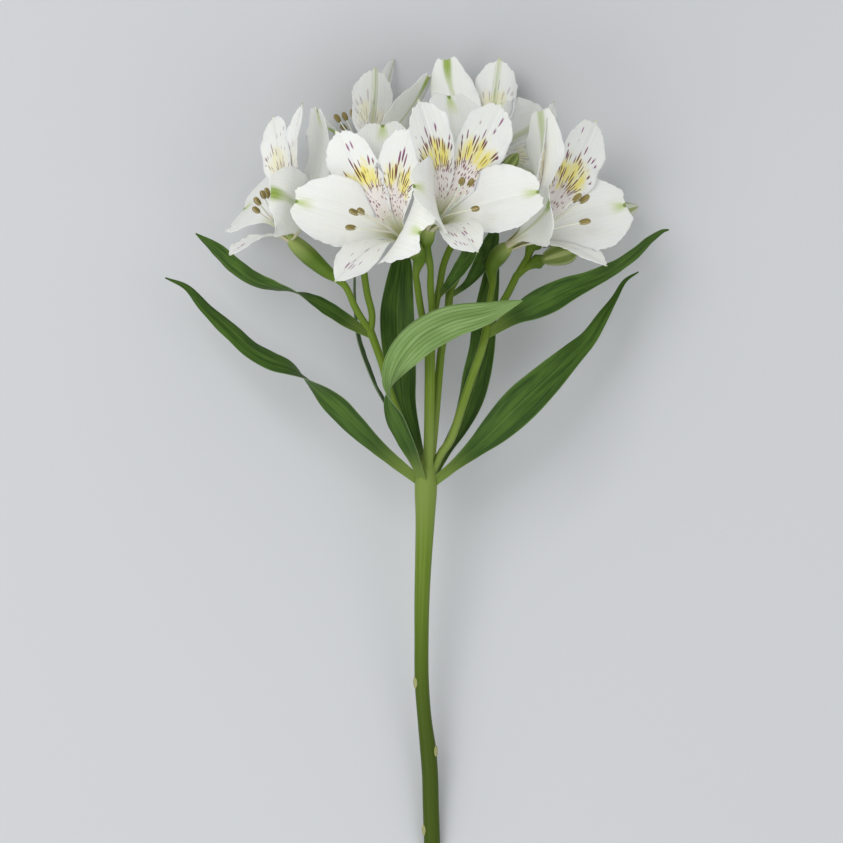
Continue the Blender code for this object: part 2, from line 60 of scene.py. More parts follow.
view = {
    "centre": (0.0018, 0.013, 0.050),  # what the camera looks straight down at
    "width": 0.3372,                   # of the picture, at that height
    "lens": 300.0,
    "sensor": 36,
    "floorSize": 4.0,
    "floorColour": (0.60, 0.61, 0.62),
    "skyColour": (0.96, 0.98, 1.0),
    "skyStrength": 0.58,
}

# where each light stands, how strong it is and how wide
lights = {
    "key": dict(place=(-0.62, 0.62, 1.45), energy=8.6, size=0.9),
    "fill": dict(place=(0.8, -0.5, 1.2), energy=3.5, size=1.0),
    "lift": dict(place=(-0.75, -0.85, 0.95), energy=5.2, size=1.0),
}

tepalLook = {
    "rows": 84,
    "columns": 40,
    "thickness": 0.42,                 # in the middle of a tepal, and thinner at its edge
    "ruffle": 0.95,                    # how far the edge waves
    "ridge": 0.02,                     # how high the veins stand
    "fray": 0.030,                     # how uneven the end is, as a share of the length
    "mucro": 0.035,                    # the small point at an inner tepal's tip
    "innerEnd": 0.90,                  # an upper inner tepal's width near its end, and how round that is
    "innerRound": 0.17,
    "innerSharp": 2.7,
    "white": (0.865, 0.868, 0.825),
    "vein": (0.66, 0.70, 0.56),
    "throat": (0.44, 0.46, 0.17),
    "claw": (0.50, 0.46, 0.26),
    "blush": (0.74, 0.57, 0.56),
    "blotch": (0.84, 0.74, 0.20),
    "streak": (0.135, 0.019, 0.027),
    "farStreak": (0.27, 0.05, 0.19),
    "dot": (0.23, 0.055, 0.085),
    "tip": (0.19, 0.28, 0.05),
    "paleTip": (0.52, 0.62, 0.24),
    "lime": (0.33, 0.46, 0.06),
    "stripe": (0.44, 0.52, 0.24),
    "roughness": 0.46,
    "backMarks": 0.34,                 # how strongly the marks show through the back
}

# The dark marks of the inner tepals: lanes across, cells along, how big a mark is in its cell, the
# share of cells that hold one, and where the band fades in, fades out and stops short of the edge.
# The last, few, is the lower tepal's own.
tepalMarks = {
    "dots": dict(lanes=11.0, cells=22.0, size=0.25, kept=0.62, seed=2.0,
                 begins=(0.20, 0.27), ends=(0.50, 0.47), edge=(0.96, 0.85)),
    "dense": dict(lanes=18.0, cells=4.3, size=0.235, kept=0.88, seed=5.0,
                  begins=(0.43, 0.47), ends=(0.70, 0.66), edge=(0.92, 0.84)),
    "between": dict(lanes=17.0, cells=5.6, size=0.21, kept=0.62, seed=12.0,
                    begins=(0.41, 0.45), ends=(0.62, 0.56), edge=(0.90, 0.80)),
    "upper": dict(lanes=16.0, cells=3.5, size=0.21, kept=0.55, seed=7.0,
                  begins=(0.62, 0.66), ends=(0.82, 0.77), edge=(0.90, 0.80)),
    "sparse": dict(lanes=16.0, cells=3.1, size=0.18, kept=0.24, seed=9.0,
                   begins=(0.78, 0.82), ends=(0.94, 0.90), edge=(0.88, 0.80)),
    "few": dict(lanes=8.5, cells=4.6, size=0.19, kept=0.30, seed=4.0,
                begins=(0.42, 0.48), ends=(0.86, 0.82), edge=(0.80, 0.7)),
}

leafLook = {
    "rows": 110,
    "columns": 36,
    "veins": 9,
    "ridge": 0.006,                    # how high the veins stand, as a share of the half width
    "thickness": 0.45,                 # up the middle, and thinner at the edge
    "wave": 0.35,
    "deep": (0.024, 0.062, 0.007),
    "sheath": (0.170, 0.250, 0.045),   # where a leaf runs into the stem
    "lit": (0.070, 0.142, 0.018),
    "middle": (0.125, 0.220, 0.045),   # the pale line up the middle
    "pale": (0.170, 0.280, 0.075),
    "paleLit": (0.265, 0.395, 0.140),
    "paleRoot": (0.110, 0.195, 0.045),
    "vein": (0.065, 0.135, 0.028),
    "shine": 0.16,
    "edge": (0.24, 0.32, 0.17),
    "roughness": 0.40,
}

# how strongly the yellow blotch and the marks show, where it isn't in full
paleMarks = {("left", "near"): 0.12, ("left", "far"): 0.35, ("right", "near"): 0.45}
# how strongly the green of an outer tepal's back shows near its tip, likewise
paleStripes = {("right", "top"): 0.25, ("left", "top"): 0.15, ("frontLeft", "near"): 0.5}

stemLook = {
    "branchSides": 28,
    "green": (0.122, 0.198, 0.014),
    "shine": 0.14,
    "yellow": (0.19, 0.275, 0.045),
    "low": (0.048, 0.080, 0.004),
    "ovary": (0.098, 0.170, 0.018),
    "ovaryTop": (0.30, 0.37, 0.11),
    "nodeTop": (0.215, 0.285, 0.065),
    "scar": (0.50, 0.50, 0.22),
    "scarDark": (0.20, 0.21, 0.09),
    "ribDepth": 0.102,                 # of an ovary, as a share of its radius
    "roughness": 0.38,
}

# places up the stem, the way each looks, 90 to the right and -90 to the left, and half its height
leafScars = [(-92.5, -66, 2.5), (-120.5, 70, 2.3), (-152.5, -74, 2.4)]

stamenLook = {
    "filament": (0.84, 0.84, 0.74),
    "anther": (0.25, 0.19, 0.05),
    "seam": (0.46, 0.40, 0.22),
    "roughness": 0.6,
    "filamentRoughness": 0.45,
    "filamentRadii": [0.42, 0.40, 0.34, 0.26],
}

budLook = {
    "green": (0.155, 0.215, 0.040),
    "rib": (0.33, 0.39, 0.13),
    "white": (0.62, 0.65, 0.52),
    "rings": 60,
    "sides": 48,
    "ribDepth": 0.05,
    "roughness": 0.40,
}

outerHalf = 14.6     # half the width of a broad outer tepal
innerHalf = 10.4     # half the width of a narrow inner tepal
gap = 0.35           # between an ovary and the bloom that it carries
coreHeight = 2.0     # of the disc that the tepals grow from
ovaryRadius = 3.6
pedicelRadius = 1.4
antherLength = 4.8
antherRadius = 1.15

# how far along an anther from its middle, or a bud from its base, and how wide it is there
antherOutline = [(-0.5, 0.10), (-0.46, 0.45), (-0.3, 0.86), (0.0, 1.0), (0.3, 0.88), (0.45, 0.5), (0.5, 0.10)]
budOutline = [(0.0, 0.52), (0.12, 0.68), (0.35, 0.92), (0.6, 1.0), (0.8, 0.80), (0.92, 0.45), (1.0, 0.12)]
# how wide the end of a stalk is at the last points of its line, as shares of the ovary's radius
ovaryShares = [0.78, 1.0, 0.84, 0.62, 0.30, 0.10]
budOvaryShares = [0.60, 0.84, 0.70, 0.50]

# The two kinds of tepal. The start, the curl, the cup and the twist are in degrees. The width
# is given as shares of the half width at the claw and at the end. The end's outline is given by
# how far its corners are rounded back and its lobes stand out, as shares of the length.
outerTepal = dict(half=outerHalf, ring=2.6, claw=0.13, end=0.86, shoulder=0.62, round=0.24, sharp=2.8,
             lobes=0.035, start=8, curl=24, cup=(60, 14), wave=0.6, twist=0, sway=0)
innerTepal = dict(half=innerHalf, ring=1.75, claw=0.15, end=0.66, shoulder=0.64, round=0.20, sharp=2.4,
             lobes=0.0, start=5, curl=20, cup=(60, 16), wave=0.4, twist=0, sway=0)

# Each bloom: the top of its ovary, the way that it faces, the places of its tepals' tips and
# of its anthers from the top of the ovary
blooms = {
    "left": dict(
        base=(-50.0, 85.6, 43.0), axis=(-0.66, 0.64, 0.40),
        outer={"top": ((10.6, 52.0, -2), {"twist": -10, "start": 80, "curl": -30}),
               "near": ((-7.4, 17.6, 28), {"start": 75, "curl": -35, "sway": 8, "half": 15.5, "twist": 12}),
               "far": ((-19.6, 12.6, -28), {"sway": -10, "half": 18.0, "lobes": 0.08, "round": 0.14})},
        inner={"near": ((4.4, 52.4, 10), {"start": 55, "sway": -3, "half": 6.0}),
               "far": ((-7.2, 48.4, -8), {"start": 40, "half": 8.5, "sway": -6}),
               "lower": ((-23.6, -6.4, 14), {"half": 7.5})},
        anthers=[(-10.9, 16.9, 18), (-9.4, 17.6, 12), (-13.1, 14.4, 20), (-13.4, 11.2, 15),
                 (-13.0, 14.4, 12), (-9.4, 17.4, 6)]),
    "frontLeft": dict(
        base=(-2.4, 83.6, 62.0), axis=(-0.55, 0.40, 0.73),
        outer={"top": ((-10.8, 47.6, -10), {"half": 15.5, "twist": 30}),
               "near": ((4.4, 3.2, 31), {"curl": 88, "start": 5, "half": 17.0, "lobes": 0.10, "round": 0.12}),
               "far": ((-45.4, 16.4, 10), {})},
        inner={"near": ((-0.4, 43.8, 20), {"half": 11.5}),
               "far": ((-28.8, 43.4, 2), {}),
               "lower": ((-28.6, -15.2, 34), {"half": 7.5, "twist": -35})},
        anthers=[(-21.9, 11.8, 29), (-19.1, 12.0, 31), (-23.1, 5.8, 27), (-21.3, 11.6, 22),
                 (-18.9, 11.6, 24), (-22.5, 6.0, 20.5)]),
    "frontRight": dict(
        base=(5.2, 89.6, 63.0), axis=(0.42, 0.42, 0.80),
        outer={"top": ((7.0, 53.2, -12), {"half": 16.0, "sway": -5}),
               "near": ((-7.0, 15.4, 38), {"curl": 50, "half": 15.5}),
               "far": ((42.8, 14.0, 12), {})},
        inner={"near": ((-4.6, 48.6, 24), {}),
               "far": ((27.2, 48.4, 0), {}),
               "lower": ((18.0, -9.8, 38), {"half": 8.0, "twist": 40})},
        anthers=[(12.0, 17.4, 36), (15.6, 17.0, 33), (17.2, 7.0, 31), (12.2, 17.0, 29),
                 (15.4, 16.6, 26), (16.8, 7.2, 24)]),
    "right": dict(
        base=(36.4, 82.8, 41.0), axis=(0.76, 0.45, 0.45),
        outer={"top": ((12.4, 54.0, 4), {"twist": 80, "half": 10.5, "shoulder": 0.52}),
               "near": ((15.6, 16.6, 29), {"half": 12.0, "twist": -12}),
               "far": ((46.8, 16.8, -8), {"half": 16.5})},
        inner={"near": ((17.6, 56.8, -4), {"half": 7.5, "twist": 15, "sway": 6}),
               "far": ((34.4, 49.4, -6), {"half": 11.2}),
               "lower": ((37.8, -7.4, 12), {"half": 8.0, "sway": 4})},
        anthers=[(26.6, 18.8, 20), (29.6, 18.4, 18), (29.6, 9.6, 17), (29.2, 9.8, 10),
                 (26.4, 18.4, 13), (29.2, 18.0, 11)]),
    "backLeft": dict(
        base=(-17.2, 113.6, 40.0), axis=(-0.30, 0.50, -0.80),
        outer={"top": ((22.0, 38.4, -20), {"twist": 35, "sway": 8, "half": 12}),
               "far": ((-18.0, 17.6, -37), {}),
               "near": ((16.0, -8.0, -43.0), {})},
        inner={"far": ((0.6, 40.8, -23), {"sway": 4, "half": 9.8}),
               "near": ((7.6, 45.2, -37), {"half": 5.5, "twist": 20, "curl": 5}),
               "lower": ((-13, -8.0, -37), {})},
        anthers=[(-14.4, 21.2, -24), (-11.6, 22.0, -26), (-12.0, 18.0, -29), (-7, 19, -30),
                 (-8.5, 23, -24), (-9, 15, -30)]),
    "backRight": dict(
        base=(28.0, 118.4, 40.0), axis=(0.05, 0.36, -0.93),
        outer={"far": ((-16.0, 40.6, -18), {"half": 9.5, "sway": -8}),
               "top": ((24.0, 15.4, -33), {}),
               "near": ((-6.0, -14.0, -43.0), {})},
        inner={"far": ((5.2, 42.0, -24), {"half": 9.0}),
               "near": ((22.0, -6.0, -38), {}),
               "lower": ((-22.0, 8.0, -34), {})},
        anthers=[(2, 14, -33), (6, 16, -31), (-2, 15, -32), (4, 10, -34), (-3, 11, -33),
                 (8, 12, -32)]),
}

# The green stem and its branches: the middle line, and its radius at each of its points
mainStem = ([(6.2, -160.8, 3.15), (5.6, -143, 6.2), (5.3, -131, 8.6), (4.5, -120, 11.0),
              (3.1, -108, 13.6), (1.9, -92, 17.4), (1.8, -74, 21.6), (2.0, -58, 25.6),
              (2.6, -42, 29.8), (3.3, -26, 34.0), (3.6, -12, 38.0), (3.7, -5.5, 40.4)],
             [3.3, 3.3, 3.3, 3.3, 2.9, 2.9, 2.9, 3.1, 3.4, 3.9, 4.5, 3.6])
branches = {
    "left ray": ([(2.6, -8, 39), (0.2, -3, 42), (-11.4, 26.4, 44.5), (-13.8, 35.6, 45),
                  (-16.0, 42.0, 45), (-18.8, 49.6, 45)], 1.6),
    "middle ray": ([(4, -9, 39.5), (4.4, -3, 43), (4.8, 5.6, 46), (5.2, 37.6, 50),
                    (5.2, 45.0, 51)], 2.1),
    "back ray": ([(5, -9, 38), (5.6, -3, 40), (6.6, 5.6, 42), (8.4, 26.4, 44), (9.8, 41.6, 45),
                  (12.4, 57.0, 45.5), (13.2, 66.0, 45)], 1.6),
    "right ray": ([(5, -10, 38.5), (9.6, 0.0, 41.5), (13.4, 5.6, 42.5), (18.4, 20.0, 44.5),
                   (22.0, 30.8, 45.5), (25.6, 41.0, 46.2), (28.4, 52.0, 46)], 1.7),
    "right twig": ([(28.0, 51.0, 46), (31.0, 56.0, 44.6), (35.6, 62.8, 42), (40.2, 72.0, 39)], 1.5),
}
pedicels = {
    "left": [(-18.4, 49.0, 45), (-22.0, 54.0, 45.5), (-24.8, 58.8, 46), (-29.0, 67.5, 47.5)],
    "backLeft": [(-18.6, 49.0, 45), (-18.0, 55.6, 45), (-20.0, 64.4, 43.5), (-21.6, 75.6, 42),
                  (-22.8, 87.6, 42), (-22.4, 97.0, 44)],
    "frontLeft": [(5.2, 44.0, 51), (2.0, 55.6, 52.5), (0.2, 66.8, 53), (-0.4, 72.0, 53.5)],
    "frontRight": [(5.2, 44.0, 51), (6.0, 56.8, 53), (5.4, 66.8, 54), (5.2, 75.6, 55)],
    "backRight": [(13.0, 65.0, 45), (16.6, 72.0, 45), (20.4, 85.6, 43), (24.4, 98.0, 43.5)],
    "right": [(28.4, 51.0, 46), (29.2, 61.6, 44), (30.2, 68.0, 42.5)],
    "budRight": [(40.0, 71.4, 39.0), (44.0, 74.8, 37)],
    "budBack": [(39.8, 71.0, 39.2), (42.4, 75.4, 37), (44.6, 79.4, 35)],
    "budSmall": [(5.2, 44.0, 50.6), (7.4, 58.8, 49.6), (9.0, 66.8, 49), (10.6, 75.6, 48.5),
                  (14.4, 84.6, 48), (21.0, 95.0, 48.8)],
}

# Each closed bud: the top of its ovary, the way that it points, its length and its radius
buds = {
    "budRight": dict(base=(51.0, 78.2, 35.5), axis=(0.94, 0.30, 0.05), length=14.5, radius=4.9),
    "budBack": dict(base=(50.0, 86.0, 32.0), axis=(0.84, 0.30, -0.43), length=46.0, radius=6.6),
    "budSmall": dict(base=(32.5, 110.0, 47.5), axis=(0.60, 0.78, -0.15), length=13.0, radius=2.9),
}

# Each leaf: points along its middle with half its width there and the turn of its face in
# degrees, 0 looking up and 90 to the right of the way that it grows
leaves = {
    "leaf_lower_left": [
        (1.2, -11.2, 39, 2.0, -30), (-14.8, 2.0, 43, 3.4, -30), (-24.4, 11.2, 44, 4.8, -28),
        (-33.0, 20.0, 44, 5.4, -35), (-45.0, 30.2, 42, 5.2, -88), (-52.0, 34.8, 40, 5.0, -125),
        (-59.4, 38.0, 38, 4.8, -140), (-68.0, 43.2, 34, 4.4, -140), (-75.4, 50.0, 31, 4.2, -140),
        (-84.6, 58.2, 28, 3.0, -140), (-93.0, 67.2, 26, 1.6, -140), (-101.6, 71.0, 24, 0.3, -140)],
    "leaf_lower_right": [
        (5.6, -12.2, 39, 1.8, 20), (15.2, -4.4, 43, 2.4, 20), (23.2, 2.4, 44, 4.0, 15),
        (32.0, 10.6, 44, 6.4, 10), (40.8, 19.4, 43, 7.6, 8), (51.4, 29.4, 40, 6.6, 5),
        (62.4, 40.0, 36, 4.6, 0), (69.2, 46.6, 33, 3.4, -10), (74.6, 54.8, 30, 2.6, -20),
        (79.6, 62.4, 27, 1.5, -30), (84.0, 69.8, 25, 0.9, -30), (89.4, 73.4, 24, 0.3, -30)],
    "leaf_folded": [
        (2.8, -12.0, 40, 2.0, -40), (-0.8, -3.0, 49, 2.8, -40), (-4.8, 5.6, 56, 3.8, -35),
        (-8.4, 14.0, 60, 4.6, -40), (-11.0, 21.6, 62, 4.6, -75), (-10.8, 28.6, 63.5, 5.0, -120),
        (-8.2, 34.8, 64.5, 5.8, -150), (-4.4, 40.4, 65.5, 6.6, -170), (1.2, 46.0, 66, 7.0, -180),
        (8.4, 50.4, 65, 7.0, -180), (15.2, 53.2, 63.5, 6.4, -180), (22.0, 54.8, 62, 5.6, -180),
        (28.4, 56.4, 60.5, 4.3, -180), (34.8, 58.8, 59.5, 2.6, -180), (42.0, 61.2, 59, 0.3, -180)],
    "leaf_upper_left": [
        (-17.6, 46.8, 45.0, 1.2, 30), (-27.8, 53.0, 43, 3.0, 30), (-36.4, 58.6, 41, 3.6, 40),
        (-43.8, 62.8, 40, 3.8, 65), (-49.0, 65.2, 39, 3.8, 90), (-57.6, 67.4, 37, 3.8, 120),
        (-65.8, 70.4, 35, 3.8, 140), (-74.0, 76.0, 32, 3.8, 145), (-80.2, 81.8, 30, 3.2, 145),
        (-85.0, 85.6, 28, 1.8, 145), (-89.2, 88.8, 27, 0.3, 145)],
    "leaf_upper_right": [
        (27.6, 47.2, 46.2, 1.3, 0), (38.6, 55.0, 48.6, 3.4, 0), (46.8, 59.2, 49, 5.4, 0),
        (53.4, 62.4, 48, 5.8, 0), (60.4, 66.0, 46, 5.0, 0), (69.4, 69.8, 43, 3.6, 0),
        (80.0, 75.4, 40, 3.0, 30), (87.6, 80.8, 37, 2.8, 40), (93.4, 86.0, 34, 2.0, 40),
        (98.8, 89.6, 32, 1.0, 40), (101.4, 90.2, 31, 0.3, 40)],
    "leaf_back_left": [
        (3.0, -11.0, 35.5, 2.0, 0), (-0.5, 4.0, 32, 2.6, 0), (-5.0, 20.0, 32.5, 4.6, 0),
        (-6.4, 33.6, 35, 6.0, 0), (-7.6, 45.6, 35, 6.8, 0), (-8.0, 56.8, 35, 6.8, 0),
        (-7.2, 67.6, 34, 5.6, 0), (-6.2, 76.8, 32, 4.0, 0), (-5.4, 87.0, 29, 0.3, 0)],
    "leaf_back_right": [
        (5.0, -11.0, 37, 1.8, 10), (12.2, 2.4, 34, 2.4, 10), (17.6, 11.6, 34, 3.6, 10),
        (21.6, 21.6, 35, 5.0, 5), (24.0, 31.6, 35, 5.6, 0), (26.0, 41.6, 35, 5.2, 0),
        (27.2, 53.6, 34, 4.8, 0), (29.2, 66.8, 31, 3.8, 0), (30.6, 76.8, 28, 2.4, 0),
        (31.6, 84.0, 26, 0.3, 0)],
    "leaf_thin": [
        (1.6, -9.0, 38.5, 1.4, 60), (-7.0, 8.0, 37.5, 2.0, 75), (-12.0, 18.6, 36, 2.8, 80),
        (-17.0, 28.0, 36, 3.4, 80), (-21.0, 38.0, 35.5, 3.8, 78), (-24.0, 48.0, 35, 3.6, 80),
        (-25.0, 59.6, 34, 3.0, 84), (-25.2, 72.4, 33, 1.6, 84), (-25.0, 79.0, 32, 0.3, 84)],
    "bract_middle": [
        (8.4, 62.6, 49.4, 0.9, -20), (13.4, 69.0, 53, 2.0, -20), (17.6, 74.6, 55, 3.0, -20),
        (20.6, 79.6, 55, 3.0, -15), (22.6, 85.0, 54, 2.0, -10), (24.0, 91.0, 52, 0.3, -10)],
    "bract_right": [
        (13.0, 63.0, 45.4, 0.9, 0), (19.8, 68.0, 44.5, 1.5, 0), (23.4, 72.6, 42, 2.6, 0),
        (27.0, 78.6, 38, 3.4, 0), (30.0, 85.6, 33.5, 3.0, 0), (32.4, 93.0, 30, 0.3, 0)],
}


def unit(v):
    v = np.asarray(v, float)
    return v / np.linalg.norm(v)


def smooth(t):
    t = np.clip(t, 0.0, 1.0)
    return t * t * (3 - 2 * t)


# evenly spaced places on a smooth curve through the given points
def through(points, count):
    p = np.asarray(points, float)
    p = np.vstack([2 * p[0] - p[1], p, 2 * p[-1] - p[-2]])
    knots = np.concatenate([[0], np.cumsum(np.linalg.norm(np.diff(p[:, :3], axis=0), axis=1) ** 0.5)])
    made = []
    for at in np.linspace(knots[1], knots[-2], 20 * len(points)):
        i = min(max(int(np.searchsorted(knots, at, side="right")) - 1, 1), len(p) - 3)
        k = knots[i - 1:i + 3]
        q = p[i - 1:i + 3]
        a = [((k[j + 1] - at) * q[j] + (at - k[j]) * q[j + 1]) / (k[j + 1] - k[j]) for j in range(3)]
        b = [((k[j + 2] - at) * a[j] + (at - k[j]) * a[j + 1]) / (k[j + 2] - k[j]) for j in range(2)]
        made.append(((k[2] - at) * b[0] + (at - k[1]) * b[1]) / (k[2] - k[1]))
    made = np.array(made)
    far = np.concatenate([[0], np.cumsum(np.linalg.norm(np.diff(made[:, :3], axis=0), axis=1))])
    wanted = np.linspace(0, far[-1], count)
    return np.stack([np.interp(wanted, far, made[:, c]) for c in range(made.shape[1])], axis=1)


def tangents(line):
    return np.array([unit(v) for v in np.gradient(line, axis=0)])


def lineLength(line):
    return np.linalg.norm(np.diff(line, axis=0), axis=1).sum()


# the half width of a tepal: a narrow claw that swells to the shoulder and draws in to the end
def tepalHalfWidth(t, spec):
    swell = spec["claw"] + (1 - spec["claw"]) * smooth((t - 0.12) / (spec["shoulder"] - 0.12))
    past = np.clip((t - spec["shoulder"]) / (1 - spec["shoulder"]), 0, 1)
    return spec["half"] * swell * (1 - (1 - spec["end"]) * past ** 2)


def tepalReach(v, spec):
    return 1 - spec["round"] * abs(v) ** spec["sharp"] + spec["lobes"] * math.sin(math.pi * v) ** 2


# a line that leaves the ovary along the bloom's axis and bends out to the tip
def tepalSpine(base, axis, tip, spec):
    tip = np.asarray(tip, float)
    outward = unit(tip - axis * (tip @ axis))
    side = np.cross(axis, outward)
    lean = math.radians(spec["start"])
    root = outward * spec["ring"]
    length = np.linalg.norm(tip - root)
    chord = math.acos(np.clip(unit(tip - root) @ axis, -1, 1))
    end = min(chord + math.radians(spec["curl"]), math.radians(150))
    first = root + (axis * math.cos(lean) + outward * math.sin(lean)) * length * 0.42
    last = tip - (axis * math.cos(end) + outward * math.sin(end)) * length * 0.36
    first = first + side * spec["sway"] * 0.3
    last = last + side * spec["sway"]
    t = np.linspace(0, 1, 161)[:, None]
    line = ((1 - t) ** 3 * root + 3 * (1 - t) ** 2 * t * first
            + 3 * (1 - t) * t ** 2 * last + t ** 3 * tip)
    return through(base + line[::16], 161), side


def wander(x, y, seed):
    return noise.noise(Vector((x, y, seed)))


# where the points of a tepal's middle surface lie, row by row from the claw to the tip
def tepalPlaces(base, axis, tip, spec, seed):
    rows, columns = tepalLook["rows"], tepalLook["columns"]
    middle, side0 = tepalSpine(base, axis, tip, spec)
    along = tangents(middle)
    side = side0 - along * (along @ side0)[:, None]
    side /= np.linalg.norm(side, axis=1)[:, None]
    inward = np.cross(along, side)
    t = np.linspace(0, 1, len(middle))
    turn = np.radians(spec["twist"]) * smooth((t - 0.1) / 0.7)
    side, inward = (side * np.cos(turn)[:, None] + inward * np.sin(turn)[:, None],
                    inward * np.cos(turn)[:, None] - side * np.sin(turn)[:, None])
    length = lineLength(middle)
    inner = spec["lobes"] == 0
    places = np.zeros((rows + 1, columns + 1, 3))
    for i, share in enumerate(1 - (1 - np.linspace(0, 1, rows + 1)) ** 1.15):
        for k, v in enumerate(np.linspace(-1, 1, columns + 1)):
            edge = abs(v)
            reach = tepalReach(v, spec) + tepalLook["fray"] * smooth(edge / 0.3) * (
                0.6 * wander(v * 6, 0, seed) + 0.4 * wander(v * 15, 4, seed) + 0.35 * wander(v * 27, 8, seed))
            reach += tepalLook["mucro"] * math.exp(-(v / 0.07) ** 2) * inner
            reach *= share
            at = min(max(reach, 0), 1) * (len(middle) - 1)
            j = min(int(at), len(middle) - 2)
            rest = at - j
            half = tepalHalfWidth(reach, spec)
            half *= 1 + edge * (0.05 * wander(reach * 7, math.copysign(3, v), seed)
                                + 0.03 * wander(reach * 24, math.copysign(5, v), seed)
                                + 0.022 * wander(reach * 46, math.copysign(6, v), seed))
            low, high = spec["cup"]
            roll = math.radians(low + (high - low) * smooth(reach / 0.42))
            ripple = spec["wave"] * edge ** 3 * reach * math.sin(9 * reach + 2.5 * v + tip[0])
            ripple += tepalLook["ruffle"] * edge ** 3 * smooth(reach / 0.5) * (
                wander(reach * 7, math.copysign(2, v) + v, seed) + 0.5 * wander(reach * 19, v, seed + 5))
            ripple -= 0.35 * math.exp(-(v / 0.07) ** 2) * smooth(reach / 0.2) * (1 - 0.5 * reach)
            ripple += tepalLook["ridge"] * (1 - edge ** 4) * smooth(reach / 0.3) * math.sin(
                v * 26 + 3 * wander(reach * 2, v * 2, seed + 9))
            ripple += inner * 0.22 * math.cos(v * 48) * math.exp(-(v / 0.2) ** 2) * smooth(reach / 0.4)
            centre = middle[j] * (1 - rest) + middle[j + 1] * rest
            places[i, k] = (centre + along[j] * max(reach - 1, 0) * length
                            + side[j] * half * math.sin(roll * v) / roll
                            + inward[j] * (half * (1 - math.cos(roll * v)) / roll + ripple))
    return places


# where the points of a leaf's middle surface lie, its face turning as it goes
def leafPlaces(line, seed):
    rows, columns = leafLook["rows"], leafLook["columns"]
    spots = through(line, rows + 1)
    middle = spots[:, :3]
    along = tangents(middle)
    places = np.zeros((rows + 1, columns + 1, 3))
    for i in range(rows + 1):
        half, turn = max(spots[i, 3], 0.25), math.radians(spots[i, 4])
        level = unit(np.cross(along[i], (0, 0, 1)))
        above = np.cross(level, along[i])
        across = level * math.cos(turn) - above * math.sin(turn)
        face = above * math.cos(turn) + level * math.sin(turn)
        for k, v in enumerate(np.linspace(-1, 1, columns + 1)):
            lift = half * 0.16 * (v * v - 0.35) - 0.05 * half * math.exp(-(v / 0.12) ** 2)
            lift += half * leafLook["ridge"] * (1 - v ** 4) * math.sin(leafLook["veins"] * math.pi * v)
            wave = leafLook["wave"] * abs(v) ** 3 * wander(i * 0.16, math.copysign(2, v), seed)
            lift += wave * min(half / 3, 1)
            places[i, k] = middle[i] + across * half * v + face * lift
    return places


# a sheet with its own layout map: u across it, v from its root to its tip
def addSheet(bm, places, materialIndex=0, lowest=0.0, turned=False):
    rows, columns = places.shape[0] - 1, places.shape[1] - 1
    made = bmesh.ops.create_grid(bm, x_segments=columns, y_segments=rows, size=1, calc_uvs=True)["verts"]
    for vert, place in zip(made, places.reshape(-1, 3)):
        vert.co = place * mm
        vert.co.z = max(vert.co.z, lowest * mm)
        vert.co.y = max(vert.co.y, cadBox[0][1] + 0.02 * mm)
    faces = list({face for vert in made for face in vert.link_faces})
    for face in faces:
        face.material_index = materialIndex
        face.smooth = True
    if turned:
        bmesh.ops.reverse_faces(bm, faces=faces)
    return made


# a round stalk with closed ends, made from a sheet that is rolled up
def addTube(bm, line, radii, rings, sides, shape=None, materialIndex=0):
    spots = through(np.column_stack([line, radii]), rings)
    middle, radius = spots[:, :3], spots[:, 3]
    along = tangents(middle)
    across = unit(np.cross(along[0], (0.31, 0.52, 0.79)))
    places = np.zeros((rings, sides + 1, 3))
    for i in range(rings):
        across = unit(across - along[i] * (along[i] @ across))
        third = np.cross(along[i], across)
        for k, angle in enumerate(np.linspace(0, 2 * math.pi, sides + 1)):
            r = radius[i] * (shape(i / (rings - 1), angle) if shape else 1)
            places[i, k] = middle[i] + (across * math.cos(angle) + third * math.sin(angle)) * r
    made = addSheet(bm, places, materialIndex)
    bmesh.ops.remove_doubles(bm, verts=made, dist=1e-7)
    made = [vert for vert in made if vert.is_valid]
    rims = [edge for edge in {edge for vert in made for edge in vert.link_edges} if edge.is_boundary]
    for face in bmesh.ops.holes_fill(bm, edges=rims, sides=0)["faces"]:
        face.material_index = materialIndex
    return made


# turns a bmesh into a finished piece that stands for the named solid
def finishPiece(name, bm, materials, node, wall=0.0, edgeWall=0.35):
    mesh = bpy.data.meshes.new(name)
    bm.to_mesh(mesh)
    bm.free()
    for material in materials:
        mesh.materials.append(material)
    piece = bpy.data.objects.new(name, mesh)
    bpy.context.scene.collection.objects.link(piece)
    if wall:
        mesh.uv_layers[0].name = "lie"
        flat = piece.vertex_groups.new(name="middle")
        uv = mesh.uv_layers[0].data
        across = np.zeros(len(mesh.vertices))
        for loop in mesh.loops:
            across[loop.vertex_index] = abs(uv[loop.index].uv[0] * 2 - 1)
        for index, edge in enumerate(across):
            flat.add([index], 1 - float(edge) ** 4, "REPLACE")
        shell = piece.modifiers.new("wall", "SOLIDIFY")
        shell.thickness = wall * mm
        shell.offset = 0
        shell.material_offset = 1
        shell.vertex_group = "middle"
        shell.thickness_vertex_group = edgeWall
    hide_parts(node)
    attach(piece, "root")
    return piece


def addNode(tree, kind, **settings):
    made = tree.nodes.new(kind)
    for name, value in settings.items():
        setattr(made, name, value)
    return made


def feed(tree, socket, value):
    if isinstance(value, bpy.types.NodeSocket):
        tree.links.new(value, socket)
    elif hasattr(value, "__len__") and len(value) == 3 and len(socket.default_value) == 4:
        socket.default_value = (*value, 1)
    else:
        socket.default_value = value


def calc(tree, operation, a, b=0.0):
    made = addNode(tree, "ShaderNodeMath", operation=operation)
    feed(tree, made.inputs[0], a)
    feed(tree, made.inputs[1], b)
    return made.outputs[0]


